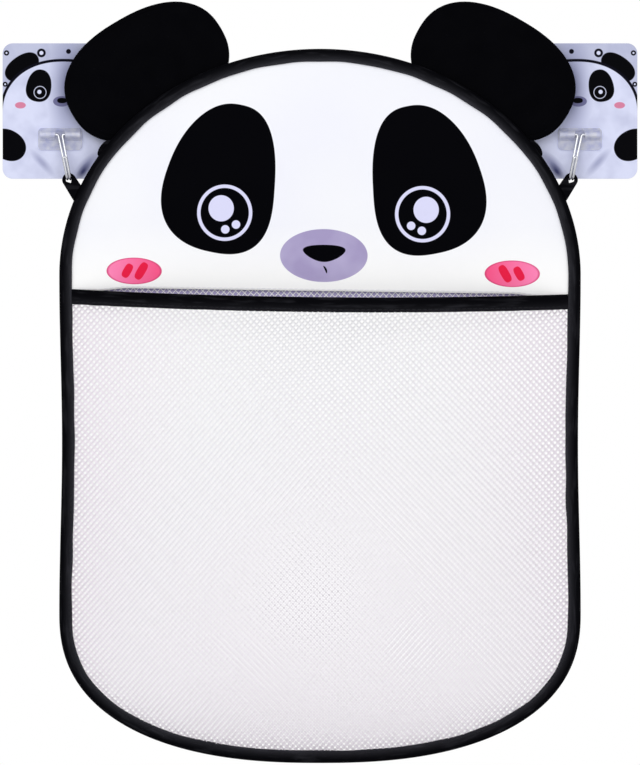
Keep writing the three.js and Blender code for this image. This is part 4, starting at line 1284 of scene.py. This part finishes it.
def makeTab(side, name):
    # A flat half ellipse of tape standing out of the binding's edge: at each angle a section between a
    # quarter of its length and its rim, whose height and width are square roots of the sine and cosine
    share = shareAtHeight(-tab["drop"])
    place, inward = outlineAt(share, 0), inwardAt(share)
    along = np.array([-inward[1], inward[0]])
    turn = np.linspace(0, math.pi, 29)[:, None, None]
    level = np.linspace(0, tau, 17)[:-1]
    bulge = np.sign(np.cos(level)) * np.abs(np.cos(level)) ** 0.5
    lift = np.sign(np.sin(level)) * np.abs(np.sin(level)) ** 0.5
    reach = np.concatenate([tab["halfLength"] * np.cos(turn), tab["halfWidth"] * np.sin(turn)], -1)
    inner = reach * (0.25, 0.0)
    at = inner + (reach - inner) * ((bulge + 1) / 2)[:, None]
    flat = place + along * at[..., :1] - inward * (at[..., 1:] - tab["rootDepth"])
    y = np.broadcast_to(-bagMiddle + lift * tab["thickness"] / 2, flat.shape[:2])
    points = np.stack([side * flat[..., 0], y, flat[..., 1]], -1)
    rows, columns = points.shape[:2]
    faces = [gridFaces(rows, columns, False, True)[0], endCaps(columns, (rows - 1) * columns)]
    piece = addPiece(f"{name}_tab_tape", points, faces, tapeBlock, "bag")
    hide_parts(f"{name}_side_tab")


for side, name in ((-1, "left"), (1, "right")):
    makeTab(side, name)
print("tabs made")


# Plates, pads and bosses

plate = {
    "width": 68,
    "height": 80,
    "corner": 6,
    "adhesive": 1.0,
    "margin": 2,  # of the plate round the adhesive
    "padEdge": 0.15,
    "sheetEdge": 0.22,
    "rimWidth": 0.6,  # of the flat ring of faces just inside each rounded edge
}


def roundedSlab(name, middleX, width, height, corner, back, front, edge, material):
    # A rounded rectangle between two distances from the wall; its edges turn by quarter circles
    turn = np.linspace(0, math.pi / 2, 13)
    quarters = []
    for number, (signX, signZ) in enumerate(((1, 1), (-1, 1), (-1, -1), (1, -1))):
        angle = turn + number * math.pi / 2
        centre = np.array([(width / 2 - corner) * signX, (height / 2 - corner) * signZ])
        quarters.append(np.concatenate([
            np.tile(centre, (13, 1)), np.stack([np.cos(angle), np.sin(angle)], -1)
        ], 1))
    rim = np.concatenate(quarters)
    s, c = edge * np.sin(np.linspace(0, math.pi / 2, 4)), edge * np.cos(np.linspace(0, math.pi / 2, 4))
    sections = [
        (edge + plate["rimWidth"], back), *zip(edge - s, back + edge - c),
        *zip(edge - c, front - edge + s), (edge + plate["rimWidth"], front),
    ]
    points = np.array([
        np.stack([
            middleX + rim[:, 0] + rim[:, 2] * (corner - inset),
            np.full(len(rim), -away),
            rim[:, 1] + rim[:, 3] * (corner - inset),
        ], -1)
        for inset, away in sections
    ])
    rows, columns = points.shape[:2]
    faces = [gridFaces(rows, columns, False, True)[0], endCaps(columns, (rows - 1) * columns)]
    return addPiece(name, points, faces, material, "plates")


platePrint = {  # outward from a plate's middle, and up
    "arch": {"at": (-2.0, -2.0), "half": (37.7, 32.8), "power": 2.2},
    "archLine": 1.65,  # width of the line round it
    "archSize": 34.0,  # by which its soft edge is measured
    "earShape": {"at": (22.6, 26.1), "half": (6.5, 11.2), "tilt": 55, "power": 2.2},
    "patch": {"at": (12.5, 15.0), "half": (7.35, 9.6), "tilt": 10, "taper": 0.12, "power": 2.3},
    "ringOuter": {"at": (11.9, 11.0), "half": (3.75, 3.75)},
    "ringInner": {"at": (11.9, 11.0), "half": (3.4, 3.4)},
    "glint": {"at": (12.3, 11.3), "half": (1.2, 1.2)},
    "cheek": {"at": (23.5, 3.4), "half": (3.2, 1.9)},
    "muzzle": {"at": (-0.9, 5.7), "half": (5.1, 3.1)},
    "nose": {"at": (-1.1, 6.2), "half": (2.9, 1.6), "power": 2.4},
    "paw": {"at": (30.9, -20.0), "half": (8.8, 11.2), "tilt": -60, "power": 2.1},
    "bubbleHigh": {"at": (31.7, 34.3), "half": (1.6, 1.6)},
    "bubbleHighInner": {"at": (31.7, 34.3), "half": (0.55, 0.55)},
    "bubbleNear": {"at": (11.1, 34.3), "half": (2.6, 2.6)},
    "bubbleNearInner": {"at": (11.1, 34.3), "half": (1.15, 1.15)},
    "dot": {"at": (-4.9, 35.2), "half": (1.45, 1.45)},
    "bubbleLow": {"at": (32.5, 15.8), "half": (1.5, 1.5)},
    "bubbleLowInner": {"at": (32.5, 15.8), "half": (0.5, 0.5)},
    # The streaks and the shade are painted shade: soft dark streaks low down, and the ear's shadow
    "shadeStreakOuter": {"at": (10.9, -30.2), "half": (3.0, 11.0), "tilt": -42.5},
    "shadeStreakInner": {"at": (-15.5, -32.0), "half": (4.0, 11.0), "tilt": 43.5},
    "shade": {"at": (-5.0, 14.0), "half": (12.5, 36.0)},
    "shadeStreakDeep": {"at": (-13.6, -35.6), "half": (2.6, 5.6), "tilt": 38},
}
plateColours = {
    "outer": (194, 198, 223),
    "inner": (220, 224, 249),
    # The painted shade's colours
    "paintedShading": (150, 154, 190),
    "shadeStreakDeep": (74, 77, 118),
    "line": (10, 10, 22),
    "ink": (1, 1, 4),
    "muzzle": (112, 112, 150),
    "cheek": (216, 132, 162),
}


def makePrintedSheet():
    # Glossy sheet with a round-eared head behind an arch, bubbles, a paw and painted shade, drawn from x
    # and z
    material, tree, shader = newMaterial("printedSheet", Roughness=0.3, Specular_IOR_Level=0.03)
    vector, axes = placeIn(tree)
    u, z = maths(tree, "SUBTRACT", maths(tree, "ABSOLUTE", axes[0]), plateX), axes[2]
    colours = {name: srgb(*value) for name, value in plateColours.items()}

    def mask(name):
        shape = platePrint[name]
        size = math.sqrt(shape["half"][0] * shape["half"][1])
        return inside(tree, shapeValue(tree, u, z, shape), size, 0.3)

    def soft(name):
        # 1 in the middle of a shape, falling to 0 at its edge
        return remap(tree, shapeValue(tree, u, z, platePrint[name]), 0.2, 1.15, 1.0, 0.0)

    def archMask(grow):
        # Below its middle the body runs straight down, off the plate's sides
        shape = dict(platePrint["arch"])
        shape["half"] = tuple(size + grow for size in shape["half"])
        level = maths(tree, "MAXIMUM", z, shape["at"][1])
        return inside(tree, shapeValue(tree, u, level, shape), platePrint["archSize"], 0.3)

    # Painted shade: random lumps, the streaks and the ear's shadow, laid over the ground
    paintedShadingStreaks = maths(tree, "MULTIPLY", remap(tree, noise(tree, vector, 0.09), 0.4, 0.75), 0.3)
    for name, strength in (("shadeStreakOuter", 0.75), ("shadeStreakInner", 1.0), ("shade", 0.95)):
        paintedShadingStreaks = maths(tree, "MAXIMUM", paintedShadingStreaks, maths(tree, "MULTIPLY", soft(name), strength))
    fill = mixColour(tree, paintedShadingStreaks, colours["inner"], colours["paintedShading"])
    fill = mixColour(tree, soft("shadeStreakDeep"), fill, colours["shadeStreakDeep"])
    ring = both(tree, mask("ringOuter"), invert(tree, mask("ringInner")))
    colour = mixColour(tree, paintedShadingStreaks, colours["outer"], colours["paintedShading"])
    for name in ("bubbleHigh", "bubbleNear", "bubbleLow"):
        colour = paint(tree, colour, [
            (mask(name), colours["line"]), (mask(name + "Inner"), colours["inner"]),
        ])
    colour = paint(tree, colour, [
        (mask("dot"), colours["line"]),
        (mask("earShape"), colours["ink"]),
        (archMask(0.0), colours["line"]),
        (archMask(-platePrint["archLine"]), fill),
        (mask("patch"), colours["ink"]),
        (ring, colours["inner"]),
        (mask("glint"), colours["inner"]),
        (mask("muzzle"), colours["muzzle"]),
        (mask("nose"), colours["ink"]),
        (mask("cheek"), colours["cheek"]),
        (mask("paw"), colours["ink"]),
    ])
    tree.links.new(colour, shader.inputs["Base Color"])
    return material


def makeClear(name, tint, roughness, solid, mottle=0.15):
    # Clear film or plastic, thin, so that what lies behind shows through undistorted; mottle is lumps to
    # the millimetre
    material, tree, shader = newMaterial(name, Specular_IOR_Level=0.6, Alpha=solid)
    tone = remap(tree, noise(tree, placeIn(tree)[0], mottle), 0.32, 0.68)
    tree.links.new(mixColour(tree, tone, srgb(*tint), srgb(246, 247, 255)), shader.inputs["Base Color"])
    addBump(tree, shader, tone, 0.05, 0.4)
    tree.links.new(remap(tree, tone, 0.3, 0.7, roughness, roughness * 1.6), shader.inputs["Roughness"])
    return material


sheetMaterial = makePrintedSheet()
padMaterial = makeClear("adhesivePad", (232, 234, 243), 0.3, 0.6)
bossMaterial = makeClear("clearBoss", (210, 214, 246), 0.1, 0.5, 0.3)
bossEdge = 0.18  # radius of its rounded edges


def makeBoss(name):
    # The boss's own solid, its points welded, its flat faces joined and its edges rounded off
    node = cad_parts[f"{name}_hook_boss"]
    mesh = bpy.data.meshes.new(f"{name}_boss_body")
    co = np.empty(len(node.data.vertices) * 3)
    node.data.vertices.foreach_get("co", co)
    world = np.array(node.matrix_world)
    co = co.reshape(-1, 3) @ world[:3, :3].T + world[:3, 3]
    mesh.from_pydata(co.tolist(), [], [list(face.vertices) for face in node.data.polygons])
    welded = bmesh.new()
    welded.from_mesh(mesh)
    bmesh.ops.remove_doubles(welded, verts=welded.verts, dist=1e-5)
    bmesh.ops.dissolve_limit(welded, angle_limit=0.02, verts=welded.verts, edges=welded.edges)
    welded.to_mesh(mesh)
    welded.free()
    mesh.materials.append(bossMaterial)
    piece = bpy.data.objects.new(f"{name}_boss_body", mesh)
    bpy.context.collection.objects.link(piece)
    rounding = piece.modifiers.new("edges", "BEVEL")
    rounding.width = bossEdge * mm
    rounding.segments = 2
    rounding.limit_method = "ANGLE"
    rounding.angle_limit = math.radians(40)
    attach(piece, "plates")
    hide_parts(node.name)


for side, name in ((-1, "left"), (1, "right")):
    pad = roundedSlab(
        f"{name}_pad_film", side * plateX, plate["width"] - 2 * plate["margin"],
        plate["height"] - 2 * plate["margin"], plate["corner"] - plate["margin"],
        0, plate["adhesive"], plate["padEdge"], padMaterial,
    )
    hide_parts(f"{name}_adhesive_pad")
    sheetPiece = roundedSlab(
        f"{name}_plate_sheet", side * plateX, plate["width"], plate["height"], plate["corner"],
        plate["adhesive"], stations["plateFront"], plate["sheetEdge"], sheetMaterial,
    )
    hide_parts(f"{name}_printed_plate")
    makeBoss(name)
print("plates made")

for name, material in (("spring_hoop", springMaterial), ("hoop_ferrule", stainlessMaterial)):
    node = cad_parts[name]
    node.data.materials.clear()
    node.data.materials.append(material)
print("metal parts painted")


print("cloth pieces made")


# Light, floor and background

studio = {
    "world": 0.715,
    "floorDrop": 0.6,
    "lamps": {
        "key": {"power": 10.2, "size": (1.4, 1.2), "place": (-0.6, -1.7, 0.9), "aim": (0, 0, -0.12)},
        "fill": {"power": 4.7, "size": (1.4, 1.4), "place": (0.9, -1.9, 0.3), "aim": (0, 0, -0.16)},
    },
}


def whiteToCamera(tree, shaded):
    # White where the camera or a mirror looks straight at it, and the given shader elsewhere
    path = tree.nodes.new("ShaderNodeLightPath")
    seen = maths(tree, "MAXIMUM", path.outputs["Is Camera Ray"], path.outputs["Is Glossy Ray"])
    seen = maths(tree, "MAXIMUM", seen, path.outputs["Is Transmission Ray"])
    white = tree.nodes.new("ShaderNodeBackground")
    white.inputs["Color"].default_value = (1, 1, 1, 1)
    blend = tree.nodes.new("ShaderNodeMixShader")
    tree.links.new(seen, blend.inputs[0])
    tree.links.new(shaded, blend.inputs[1])
    tree.links.new(white.outputs[0], blend.inputs[2])
    return blend.outputs[0]


world = bpy.data.worlds.new("studio")
bpy.context.scene.world = world
world.use_nodes = True
worldTree = world.node_tree
base = worldTree.nodes["Background"]
base.inputs["Color"].default_value = (1, 1, 1, 1)
base.inputs["Strength"].default_value = studio["world"]
surface = worldTree.nodes["World Output"].inputs["Surface"]
worldTree.links.new(whiteToCamera(worldTree, base.outputs[0]), surface)


for name, look in studio["lamps"].items():
    lamp = bpy.data.lights.new(name, "AREA")
    lamp.energy = look["power"]
    lamp.shape = "RECTANGLE"
    lamp.size, lamp.size_y = look["size"]
    lampObject = bpy.data.objects.new(name, lamp)
    lampObject.location = look["place"]
    direction = mathutils.Vector(look["aim"]) - mathutils.Vector(look["place"])
    lampObject.rotation_euler = direction.to_track_quat("-Z", "Y").to_euler()
    bpy.context.collection.objects.link(lampObject)

low = -studio["floorDrop"]
floorMesh = bpy.data.meshes.new("floor")
floorMesh.from_pydata([(-3, -3, low), (3, -3, low), (3, 2, low), (-3, 2, low)], [], [(0, 1, 2, 3)])
floorMesh.materials.append(newMaterial("floor", Roughness=0.6, Base_Color=(0.85, 0.85, 0.86, 1))[0])
floor = bpy.data.objects.new("floor", floorMesh)
bpy.context.collection.objects.link(floor)
print("light and floor made")
